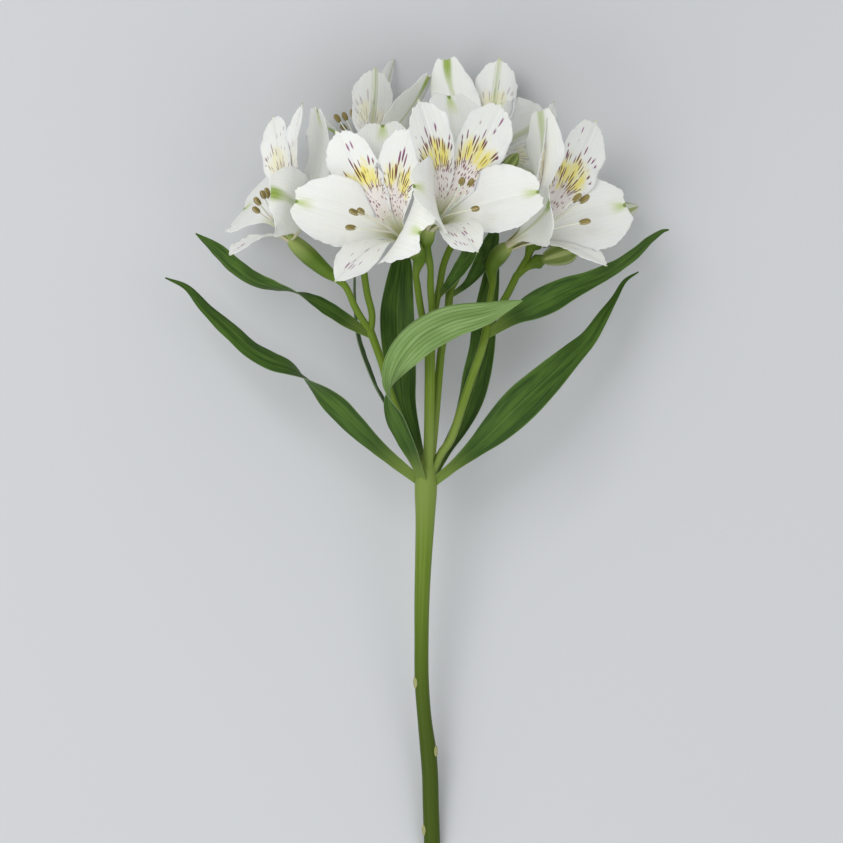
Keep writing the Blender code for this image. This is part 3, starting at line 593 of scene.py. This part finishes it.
# 0 up to low and 1 from high on, or the other way round where low is the larger
def rise(tree, value, low, high):
    made = addNode(tree, "ShaderNodeMapRange", interpolation_type="SMOOTHSTEP")
    feed(tree, made.inputs["Value"], value)
    made.inputs["From Min"].default_value = low
    made.inputs["From Max"].default_value = high
    return made.outputs["Result"]


def times(tree, *values):
    result = values[0]
    for value in values[1:]:
        result = calc(tree, "MULTIPLY", result, value)
    return result


def tint(tree, factor, under, over):
    made = addNode(tree, "ShaderNodeMix", data_type="RGBA")
    feed(tree, made.inputs[0], factor)
    feed(tree, made.inputs[6], under)
    feed(tree, made.inputs[7], over)
    return made.outputs[2]


# the sheet's own directions: across from -1 to 1, and along from 0 at the root to 1 at the tip
def layout(tree):
    lie = addNode(tree, "ShaderNodeUVMap")
    parts = addNode(tree, "ShaderNodeSeparateXYZ")
    tree.links.new(lie.outputs[0], parts.inputs[0])
    across = calc(tree, "MULTIPLY_ADD", parts.outputs[0], 2.0)
    across.node.inputs[2].default_value = -1.0
    return across, parts.outputs[1]


def attribute(tree, name):
    return addNode(tree, "ShaderNodeAttribute", attribute_name=name).outputs["Fac"]


def grain(tree, across, along, wide, tall, seed=0.0, detail=2.0):
    place = addNode(tree, "ShaderNodeCombineXYZ")
    feed(tree, place.inputs[0], times(tree, across, wide))
    feed(tree, place.inputs[1], times(tree, along, tall))
    feed(tree, place.inputs[2], calc(tree, "ADD", attribute(tree, "seed"), seed))
    made = addNode(tree, "ShaderNodeTexNoise")
    made.inputs["Scale"].default_value = 1.0
    made.inputs["Detail"].default_value = detail
    tree.links.new(place.outputs[0], made.inputs["Vector"])
    return made.outputs["Fac"]


# noise that runs through the whole piece, and the places that it is read at
def cloudy(tree, scale):
    place = addNode(tree, "ShaderNodeTexCoord").outputs["Object"]
    made = addNode(tree, "ShaderNodeTexNoise")
    made.inputs["Scale"].default_value = scale
    tree.links.new(place, made.inputs["Vector"])
    return made.outputs["Fac"], place


# long marks that lie along the sheet: lanes across it, cells along it
def dashes(tree, across, along, lanes, cells, size, kept, seed):
    place = addNode(tree, "ShaderNodeCombineXYZ")
    feed(tree, place.inputs[0], times(tree, across, lanes))
    feed(tree, place.inputs[1], times(tree, along, cells))
    moved = addNode(tree, "ShaderNodeVectorMath", operation="ADD")
    tree.links.new(place.outputs[0], moved.inputs[0])
    own = addNode(tree, "ShaderNodeCombineXYZ")
    feed(tree, own.inputs[0], calc(tree, "ADD", attribute(tree, "seed"), seed))
    feed(tree, own.inputs[1], calc(tree, "ADD", times(tree, attribute(tree, "seed"), 1.7), seed))
    tree.links.new(own.outputs[0], moved.inputs[1])
    cell = addNode(tree, "ShaderNodeTexVoronoi", voronoi_dimensions="2D")
    cell.inputs["Scale"].default_value = 1.0
    cell.inputs["Randomness"].default_value = 0.70
    tree.links.new(moved.outputs[0], cell.inputs["Vector"])
    chance = addNode(tree, "ShaderNodeSeparateColor")
    tree.links.new(cell.outputs["Color"], chance.inputs[0])
    wide = rise(tree, chance.outputs[1], 0.0, 1.0)
    wide.node.inputs["To Min"].default_value = size * 0.65
    wide.node.inputs["To Max"].default_value = size * 1.25
    spot = rise(tree, calc(tree, "DIVIDE", cell.outputs["Distance"], wide), 1.15, 0.75)
    return times(tree, spot, calc(tree, "LESS_THAN", chance.outputs[0], kept))


# one band of marks, faded out at its two ends and towards the tepal's edges
def markBand(tree, across, along, off, name):
    band = tepalMarks[name]
    marks = dashes(tree, across, along, band["lanes"], band["cells"], band["size"], band["kept"],
                   band["seed"])
    return times(tree, marks, rise(tree, along, *band["begins"]), rise(tree, along, *band["ends"]),
                 rise(tree, off, *band["edge"]))


def newMaterial(name, roughness, shine=0.32):
    material = bpy.data.materials.new(name)
    material.use_nodes = True
    shader = material.node_tree.nodes["Principled BSDF"]
    shader.inputs["Roughness"].default_value = roughness
    shader.inputs["Specular IOR Level"].default_value = shine
    return material, material.node_tree, shader


# how much light goes through, how far each colour of it goes, and the length that this counts in
def letThrough(shader, weight, radius, scale):
    shader.inputs["Subsurface Weight"].default_value = weight
    shader.inputs["Subsurface Radius"].default_value = radius
    shader.inputs["Subsurface Scale"].default_value = scale


def setBump(tree, shader, height, distance, strength):
    bump = addNode(tree, "ShaderNodeBump")
    bump.inputs["Strength"].default_value = strength
    bump.inputs["Distance"].default_value = distance
    feed(tree, bump.inputs["Height"], height)
    tree.links.new(bump.outputs[0], shader.inputs["Normal"])


# the yellow blotch and the dark marks of an inner tepal, which show faintly through its back
def addMarks(tree, across, along, off, colour, strength):
    look = tepalLook
    wide = rise(tree, along, 0.12, 0.64)
    wide.node.inputs["To Min"].default_value = 0.15
    level = times(tree, across, wide)
    # the marks point away from a place a fifth of the way up
    away = calc(tree, "MAXIMUM", calc(tree, "SUBTRACT", along, 0.20), 0.05)
    fan = times(tree, calc(tree, "DIVIDE", across, away), 0.21)
    cloud = grain(tree, across, along, 5.0, 7.0, 7.0)
    shift = rise(tree, cloud, 0.2, 0.8)
    shift.node.inputs["To Min"].default_value = -0.05
    shift.node.inputs["To Max"].default_value = 0.05
    place = calc(tree, "ADD", along, shift)
    shown = times(tree, attribute(tree, "mark"), strength)
    blush = times(tree, rise(tree, along, 0.16, 0.30), rise(tree, place, 0.56, 0.44),
                  rise(tree, off, 1.0, 0.6))
    colour = tint(tree, times(tree, blush, shown, 0.36), colour, look["blush"])
    rays = rise(tree, grain(tree, fan, along, 12.0, 2.0, 11.0), 0.30, 0.60)
    rays.node.inputs["To Min"].default_value = 0.35
    blotch = times(tree, rise(tree, place, 0.44, 0.50), rise(tree, place, 0.71, 0.60),
                   rise(tree, off, 0.92, 0.45), rays)
    colour = tint(tree, times(tree, blotch, shown), colour, look["blotch"])
    shown = times(tree, calc(tree, "POWER", attribute(tree, "mark"), 0.4), strength)
    dots = markBand(tree, level, along, off, "dots")
    dense = markBand(tree, fan, along, off, "dense")
    between = markBand(tree, fan, along, off, "between")
    upper = markBand(tree, fan, along, off, "upper")
    sparse = markBand(tree, fan, along, off, "sparse")
    colour = tint(tree, times(tree, dots, shown, 0.85), colour, look["dot"])
    marks = calc(tree, "MAXIMUM", calc(tree, "MAXIMUM", dense, between), upper)
    ink = tint(tree, rise(tree, along, 0.60, 0.82), look["streak"], look["farStreak"])
    colour = tint(tree, times(tree, marks, shown, 0.95), colour, ink)
    return tint(tree, times(tree, sparse, shown, 0.85), colour, look["farStreak"])


# kind is outer, inner or lower, and face is front or back
def makeTepalMaterial(kind, face):
    look = tepalLook
    material, tree, shader = newMaterial(f"{kind}Tepal{face.title()}", look["roughness"])
    across, along = layout(tree)
    off = calc(tree, "ABSOLUTE", across)
    veins = grain(tree, across, along, 22.0, 1.2, 3.0, 3.0)
    veinLines = rise(tree, veins, 0.50, 0.64)
    fromTip = calc(tree, "SUBTRACT", 1.0, along)
    colour = tint(tree, times(tree, veinLines, 0.15), look["white"], look["vein"])
    clawTint = look["throat"] if face == "front" else look["claw"]
    colour = tint(tree, times(tree, rise(tree, along, 0.36, 0.06), 0.85), colour, clawTint)
    if kind == "inner":
        strength = 1.0 if face == "front" else look["backMarks"]
        colour = addMarks(tree, across, along, off, colour, strength)
    if kind == "lower" and face == "front":
        few = markBand(tree, across, along, off, "few")
        colour = tint(tree, times(tree, few, 0.9), colour, look["farStreak"])
    if face == "back":
        near = times(tree, rise(tree, along, 0.72, 0.93), attribute(tree, "vivid"))
        reach = rise(tree, along, 0.60, 0.95)
        reach.node.inputs["To Min"].default_value = 0.10
        reach.node.inputs["To Max"].default_value = 0.24 if kind == "outer" else 0.10
        band = rise(tree, calc(tree, "DIVIDE", off, reach), 1.25, 0.20)
        colour = tint(tree, times(tree, band, rise(tree, along, 0.0, 0.2), 0.55), colour, look["stripe"])
        if kind == "outer":
            lines = rise(tree, calc(tree, "COSINE", times(tree, across, 52.0)), 0.55, 0.95)
            colour = tint(tree, times(tree, band, near, 0.90), colour, look["lime"])
            colour = tint(tree, times(tree, band, near, lines, 0.55), colour, look["tip"])
        else:
            lines = rise(tree, calc(tree, "ABSOLUTE", calc(tree, "SUBTRACT", off, 0.13)), 0.035, 0.01)
            colour = tint(tree, times(tree, lines, rise(tree, along, 0.1, 0.4), 0.45), colour, look["stripe"])
    if kind == "outer" and face == "front":
        streaming = times(tree, rise(tree, off, 0.50, 0.05), rise(tree, along, 0.62, 0.97),
                          rise(tree, veins, 0.46, 0.62))
        spread = calc(tree, "DIVIDE", off, calc(tree, "ADD", fromTip, 0.08))
        feather = times(tree, rise(tree, spread, 1.1, 0.2), rise(tree, fromTip, 0.24, 0.04))
        spot = rise(tree, calc(tree, "ADD", calc(tree, "POWER", times(tree, off, 12.0), 2.0),
                               calc(tree, "POWER", times(tree, fromTip, 19.0), 2.0)), 1.1, 0.35)
        colour = tint(tree, times(tree, streaming, 0.16), colour, look["paleTip"])
        colour = tint(tree, times(tree, feather, 0.85), colour, look["paleTip"])
        colour = tint(tree, times(tree, spot, 0.9), colour, look["tip"])
    if kind != "outer":
        spot = times(tree, rise(tree, off, 0.10, 0.03), rise(tree, along, 0.965, 0.99))
        colour = tint(tree, times(tree, spot, 0.7), colour, look["paleTip"])
    tree.links.new(colour, shader.inputs["Base Color"])
    letThrough(shader, 0.6, (1.0, 1.0, 0.8), 0.0007)
    setBump(tree, shader, veins, 0.00025, 0.30)
    return material


def makeLeafMaterial(name, ground, light, root, midColour, veinColour):
    look = leafLook
    material, tree, shader = newMaterial(name, look["roughness"], look["shine"])
    across, along = layout(tree)
    off = calc(tree, "ABSOLUTE", across)
    broad = grain(tree, across, along, 2.0, 5.0, 1.0)
    fine = grain(tree, across, along, 30.0, 2.5, 4.0, 3.0)
    colour = tint(tree, rise(tree, broad, 0.35, 0.68), ground, light)
    ribs = calc(tree, "SINE", times(tree, across, look["veins"] * math.pi))
    lines = rise(tree, ribs, 0.76, 0.97)
    colour = tint(tree, times(tree, rise(tree, fine, 0.50, 0.70), 0.45), colour, light)
    colour = tint(tree, times(tree, rise(tree, along, 0.40, 0.10), 0.5), colour, root)
    colour = tint(tree, times(tree, lines, rise(tree, fine, 0.25, 0.5), 0.75), colour, veinColour)
    midLine = times(tree, rise(tree, off, 0.045, 0.015), rise(tree, along, 0.98, 0.7), 0.55)
    colour = tint(tree, midLine, colour, midColour)
    colour = tint(tree, times(tree, rise(tree, off, 0.95, 1.0), 0.7), colour, look["edge"])
    colour = tint(tree, times(tree, rise(tree, along, 0.20, 0.02), 0.9), colour, look["sheath"])
    tree.links.new(colour, shader.inputs["Base Color"])
    letThrough(shader, 0.08, (0.4, 1.0, 0.2), 0.001)
    height = calc(tree, "ADD", times(tree, lines, 0.6), times(tree, fine, 0.5))
    setBump(tree, shader, height, 0.00035, 0.5)
    return material


def makeStemMaterial():
    look = stemLook
    material, tree, shader = newMaterial("stemGreen", look["roughness"], look["shine"])
    across, along = layout(tree)
    ripe = attribute(tree, "ripe")
    cloud, place = cloudy(tree, 60.0)
    streak = grain(tree, across, along, 9.0, 3.0, 2.0, 3.0)
    colour = tint(tree, times(tree, rise(tree, streak, 0.35, 0.68), 0.55), look["green"], look["yellow"])
    colour = tint(tree, times(tree, rise(tree, cloud, 0.55, 0.75), 0.4), colour, look["yellow"])
    parts = addNode(tree, "ShaderNodeSeparateXYZ")
    tree.links.new(place, parts.inputs[0])
    upStem = parts.outputs[1]
    colour = tint(tree, times(tree, rise(tree, upStem, -0.03, -0.125), 0.95), colour, look["low"])
    top = times(tree, rise(tree, upStem, -0.045, -0.014), rise(tree, upStem, 0.035, 0.0))
    colour = tint(tree, times(tree, top, 0.7), colour, look["nodeTop"])
    colour = tint(tree, rise(tree, ripe, 0.05, 0.5), colour, look["ovary"])
    colour = tint(tree, rise(tree, ripe, 0.60, 1.0), colour, look["ovaryTop"])
    patches = rise(tree, grain(tree, across, along, 9.0, 9.0, 5.0), 0.4, 0.6)
    worn = tint(tree, patches, look["scar"], look["scarDark"])
    colour = tint(tree, attribute(tree, "scarred"), colour, worn)
    tree.links.new(colour, shader.inputs["Base Color"])
    letThrough(shader, 0.1, (0.5, 1.0, 0.2), 0.0015)
    setBump(tree, shader, streak, 0.0003, 0.25)
    return material


# white is how far up the bud the white begins, and where it is full
def makeBudMaterial(name, white):
    look = budLook
    material, tree, shader = newMaterial(name, look["roughness"])
    across, along = layout(tree)
    ribs = calc(tree, "COSINE", times(tree, across, 6 * math.pi))
    fine = grain(tree, across, along, 24.0, 2.0, 6.0)
    colour = tint(tree, rise(tree, ribs, -0.3, 0.8), look["green"], look["rib"])
    colour = tint(tree, times(tree, rise(tree, fine, 0.45, 0.7), 0.4), colour, look["rib"])
    showing = times(tree, rise(tree, along, *white), rise(tree, ribs, 0.9, -0.4))
    colour = tint(tree, showing, colour, look["white"])
    tree.links.new(colour, shader.inputs["Base Color"])
    letThrough(shader, 0.15, (0.5, 1.0, 0.2), 0.0015)
    setBump(tree, shader, fine, 0.0003, 0.4)
    return material


def makeAntherMaterial():
    look = stamenLook
    material, tree, shader = newMaterial("antherOlive", look["roughness"])
    across, _ = layout(tree)
    seam = rise(tree, calc(tree, "COSINE", times(tree, across, 2 * math.pi)), 0.55, 0.95)
    dust, _ = cloudy(tree, 2500.0)
    colour = tint(tree, times(tree, seam, 0.8), look["anther"], look["seam"])
    colour = tint(tree, times(tree, rise(tree, dust, 0.5, 0.7), 0.35), colour, look["seam"])
    tree.links.new(colour, shader.inputs["Base Color"])
    setBump(tree, shader, dust, 0.0002, 0.6)
    return material


def makeFilamentMaterial():
    look = stamenLook
    material, tree, shader = newMaterial("filamentWhite", look["filamentRoughness"])
    _, along = layout(tree)
    colour = tint(tree, rise(tree, along, 0.4, 0.0), look["filament"], tepalLook["throat"])
    tree.links.new(colour, shader.inputs["Base Color"])
    shader.inputs["Subsurface Weight"].default_value = 0.3
    shader.inputs["Subsurface Scale"].default_value = 0.001
    return material


# a front and a back for each kind of tepal, in the order that makeTepals counts on
tepalMaterials = [makeTepalMaterial(kind, face)
                  for kind in ("outer", "inner", "lower") for face in ("front", "back")]
deepLeaf = makeLeafMaterial("leafDeep", leafLook["deep"], leafLook["lit"], leafLook["deep"],
                            leafLook["middle"], leafLook["lit"])
paleLeaf = makeLeafMaterial("leafPale", leafLook["pale"], leafLook["paleLit"], leafLook["paleRoot"],
                            leafLook["vein"], leafLook["vein"])
stemMaterial = makeStemMaterial()
anther, filament = makeAntherMaterial(), makeFilamentMaterial()
print("materials made")


def makeTepals(name, bloom, seed):
    base, axis = np.asarray(bloom["base"], float), unit(bloom["axis"])
    start = base + axis * gap
    bm = bmesh.new()
    bm.loops.layers.uv.new("lie")
    ownSeed = bm.verts.layers.float.new("seed")
    ownMark = bm.verts.layers.float.new("mark")
    ownVivid = bm.verts.layers.float.new("vivid")
    count = 0
    for kind, tepals in ((outerTepal, bloom["outer"]), (innerTepal, bloom["inner"])):
        for key, (tip, change) in tepals.items():
            spec = {**kind, **change}
            if kind is innerTepal and key != "lower":
                spec.update(end=tepalLook["innerEnd"], round=tepalLook["innerRound"],
                            sharp=tepalLook["innerSharp"])
            places = tepalPlaces(start + axis * 0.6, axis, tip, spec, seed + count)
            # a tip that would pass the room of the solids bends down a little
            over = max(places[:, :, 1].max() - cadBox[1][1] / mm + 0.28, 0)
            places[:, :, 1] -= over * np.linspace(0, 1, len(places))[:, None] ** 2
            index = 0 if kind is outerTepal else 4 if key == "lower" else 2
            for vert in addSheet(bm, places, index, 0.25, True):
                vert[ownSeed] = seed + count * 2.37
                vert[ownMark] = paleMarks.get((name, key), 1.0)
                vert[ownVivid] = paleStripes.get((name, key), 1.0)
            count += 1
    finishPiece(f"{name}BloomTepals", bm, tepalMaterials, f"bloom_{nodeName(name)}_tepals",
                tepalLook["thickness"])


def makeStamens(name, bloom):
    base, axis = np.asarray(bloom["base"], float), unit(bloom["axis"])
    foot = base + axis * (coreHeight + 2 * gap)
    bm = bmesh.new()
    bm.loops.layers.uv.new("lie")
    for at in bloom["anthers"]:
        end = base + np.asarray(at, float)
        away = unit(end - foot - axis * ((end - foot) @ axis))
        low = foot - axis * 1.2 + away * 0.5
        halfWay = foot + (end - foot) * 0.55 - away * 1.5
        addTube(bm, [low, low + axis * 9.5, halfWay, end], stamenLook["filamentRadii"], 26, 8,
                materialIndex=1)
        lie = unit(end - halfWay)
        heart = end + lie * 1.4
        addTube(bm, [heart + lie * antherLength * far for far, _ in antherOutline],
                [antherRadius * share for _, share in antherOutline], 18, 20, antherShape)
    finishPiece(f"{name}BloomStamens", bm, [anther, filament], f"bloom_{nodeName(name)}_stamens")


# two plump halves with a seam between them
def antherShape(t, angle):
    return 1 - 0.22 * max(0.0, math.cos(2 * angle)) ** 3 * math.sin(math.pi * t)


# frontLeft to front_left, as the solids are named
def nodeName(name):
    return "".join("_" + letter.lower() if letter.isupper() else letter for letter in name)


# a stalk's line, run on through its ovary and a little way into the bloom
def ovaryLine(base, axis, route):
    base, axis = np.asarray(base, float), unit(axis)
    start = np.asarray(route[-1], float)
    bend = unit(unit(base - start) + axis)
    length = np.linalg.norm(base - start)
    return list(route) + [base - bend * length * 0.62, base - (bend + axis) * length * 0.16,
                          base - axis * 1.4, base + axis * 0.6, base + axis * 2.4, base + axis * 3.4]


# the low uneven pad that a fallen leaf has left on the main stem
def addScar(bm, scarred, spot, at, side, halfHeight):
    out = unit((math.sin(math.radians(side)), 0.0, math.cos(math.radians(side))))
    heart = spot[:3] + out * (spot[3] - 0.10)
    upward = np.array((0.0, 1.0, 0.0))
    third = np.cross(out, upward)
    made = bmesh.ops.create_uvsphere(bm, u_segments=20, v_segments=12, radius=1)["verts"]
    for vert in made:
        x, y, z = vert.co
        rough = 1 + 0.18 * wander(x * 3, y * 3, at + z * 3)
        pad = out * x * 0.8 + upward * y * halfHeight + third * z * halfHeight * 0.6
        vert.co = (heart + pad * rough) * mm
        vert[scarred] = 1.0
    for face in {face for vert in made for face in vert.link_faces}:
        face.smooth = True


def makeStem():
    bm = bmesh.new()
    bm.loops.layers.uv.new("lie")
    ripe = bm.verts.layers.float.new("ripe")
    scarred = bm.verts.layers.float.new("scarred")
    # the top runs on as a short cone into the branches
    line, radii = (np.asarray(part, float) for part in mainStem)
    upward = unit(line[-1] - line[-2])
    line = np.vstack([line, line[-1] + upward * 2.6, line[-1] + upward * 5.2])
    radii = np.append(radii, radii[-1] * np.array([0.84, 0.55]))
    addTube(bm, line, radii, 150, 40, lambda t, angle: 1 + 0.006 * math.sin(7 * angle + 9 * t))
    for line, radius in branches.values():
        addTube(bm, line, [radius] * len(line), 60, stemLook["branchSides"],
                lambda t, angle: 1 + 0.02 * math.sin(5 * angle))
    for name, route in pedicels.items():
        holder = buds.get(name) or blooms[name]
        thick = min(ovaryRadius, holder.get("radius", ovaryRadius))
        line = ovaryLine(holder["base"], holder["axis"], route)
        shares = ovaryShares
        if name in buds:
            line, shares = line[:-2], budOvaryShares
        radii = [pedicelRadius] * len(route) + [thick * share for share in shares]
        spots = through(np.column_stack([line, radii]), 80)
        swell = np.clip((spots[:, 3] - pedicelRadius) / (thick - pedicelRadius), 0, 1)

        def ribbed(t, angle):
            here = swell[min(int(t * 79), 79)]
            return 1 + stemLook["ribDepth"] * here * (abs(math.cos(angle * 3)) - 0.6)

        made = addTube(bm, line, radii, 80, 48, ribbed)
        top, upright = np.asarray(holder["base"], float), unit(holder["axis"])
        length = np.linalg.norm(top - np.asarray(route[-1], float))
        for vert in made:
            away = np.array(vert.co) / mm - top
            near = 0 if away @ upright > 0 else np.linalg.norm(away)
            vert[ripe] = float(np.clip(1 - near / (length * 1.15), 0, 1))
    stemSpots = through(np.column_stack(mainStem), 200)
    for at, side, halfHeight in leafScars:
        addScar(bm, scarred, stemSpots[np.abs(stemSpots[:, 1] - at).argmin()], at, side, halfHeight)
    bmesh.ops.recalc_face_normals(bm, faces=bm.faces)
    finishPiece("stem", bm, [stemMaterial], "stem")


# the furrows between a bud's ribs, which turn a little as they climb
def budShape(t, angle):
    furrow = 1 - abs(math.cos(3 * angle + 0.8 * t))
    return 1 - budLook["ribDepth"] * furrow * math.sin(math.pi * min(t + 0.1, 1))


def makeBud(name, bud, material):
    base, axis = np.asarray(bud["base"], float), unit(bud["axis"])
    start = base + axis * gap
    bm = bmesh.new()
    bm.loops.layers.uv.new("lie")
    addTube(bm, [start + axis * bud["length"] * far for far, _ in budOutline],
            [bud["radius"] * share for _, share in budOutline], budLook["rings"], budLook["sides"], budShape)
    bmesh.ops.recalc_face_normals(bm, faces=bm.faces)
    finishPiece(name, bm, [material], nodeName(name))


def makeLeaf(node, line, seed):
    bm = bmesh.new()
    bm.loops.layers.uv.new("lie")
    addSheet(bm, leafPlaces(line, seed))
    words = node.split("_")
    back = paleLeaf if node == "leaf_folded" else deepLeaf
    finishPiece(words[0] + "".join(word.title() for word in words[1:]), bm, [deepLeaf, back], node,
                leafLook["thickness"], 0.45)


def addLight(name, place, energy, size):
    lamp = bpy.data.lights.new(name, "AREA")
    lamp.energy = energy
    lamp.size = size
    obj = bpy.data.objects.new(name, lamp)
    bpy.context.scene.collection.objects.link(obj)
    obj.location = place
    obj.rotation_mode = "QUATERNION"
    obj.rotation_quaternion = (Vector(view["centre"]) - Vector(place)).to_track_quat("-Z", "Y")


def makeStage():
    bm = bmesh.new()
    bmesh.ops.create_grid(bm, x_segments=1, y_segments=1, size=view["floorSize"])
    mesh = bpy.data.meshes.new("floor")
    bm.to_mesh(mesh)
    bm.free()
    floor = bpy.data.objects.new("floor", mesh)
    bpy.context.scene.collection.objects.link(floor)
    material, _, shader = newMaterial("paleFloor", 0.7)
    shader.inputs["Base Color"].default_value = (*view["floorColour"], 1)
    mesh.materials.append(material)
    sky = bpy.data.worlds.new("softSky")
    sky.use_nodes = True
    background = sky.node_tree.nodes["Background"]
    background.inputs["Color"].default_value = (*view["skyColour"], 1)
    background.inputs["Strength"].default_value = view["skyStrength"]
    bpy.context.scene.world = sky
    for name, light in lights.items():
        addLight(name, **light)
    bpy.context.scene.view_settings.view_transform = "Standard"
    camera = bpy.data.cameras.new("camera")
    camera.lens = view["lens"]
    camera.sensor_width = view["sensor"]
    camera.clip_end = 20
    obj = bpy.data.objects.new("camera", camera)
    bpy.context.scene.collection.objects.link(obj)
    x, y, z = view["centre"]
    obj.location = (x, y, z + view["width"] * view["lens"] / camera.sensor_width)
    bpy.context.scene.camera = obj


makeStage()
print("camera, lights and floor made")
makeStem()
print("stem made")
for seed, (name, bloom) in enumerate(blooms.items()):
    makeTepals(name, bloom, seed * 11.0 + 1.3)
    makeStamens(name, bloom)
    print("bloom made:", name)
greenBud = makeBudMaterial("budGreen", (0.9, 1.2))
paleBud = makeBudMaterial("budPale", (0.35, 0.8))
for name, bud in buds.items():
    makeBud(name, bud, paleBud if name == "budBack" else greenBud)
print("buds made")
for seed, (node, line) in enumerate(leaves.items()):
    makeLeaf(node, line, seed * 3.7 + 0.9)
print("leaves made")
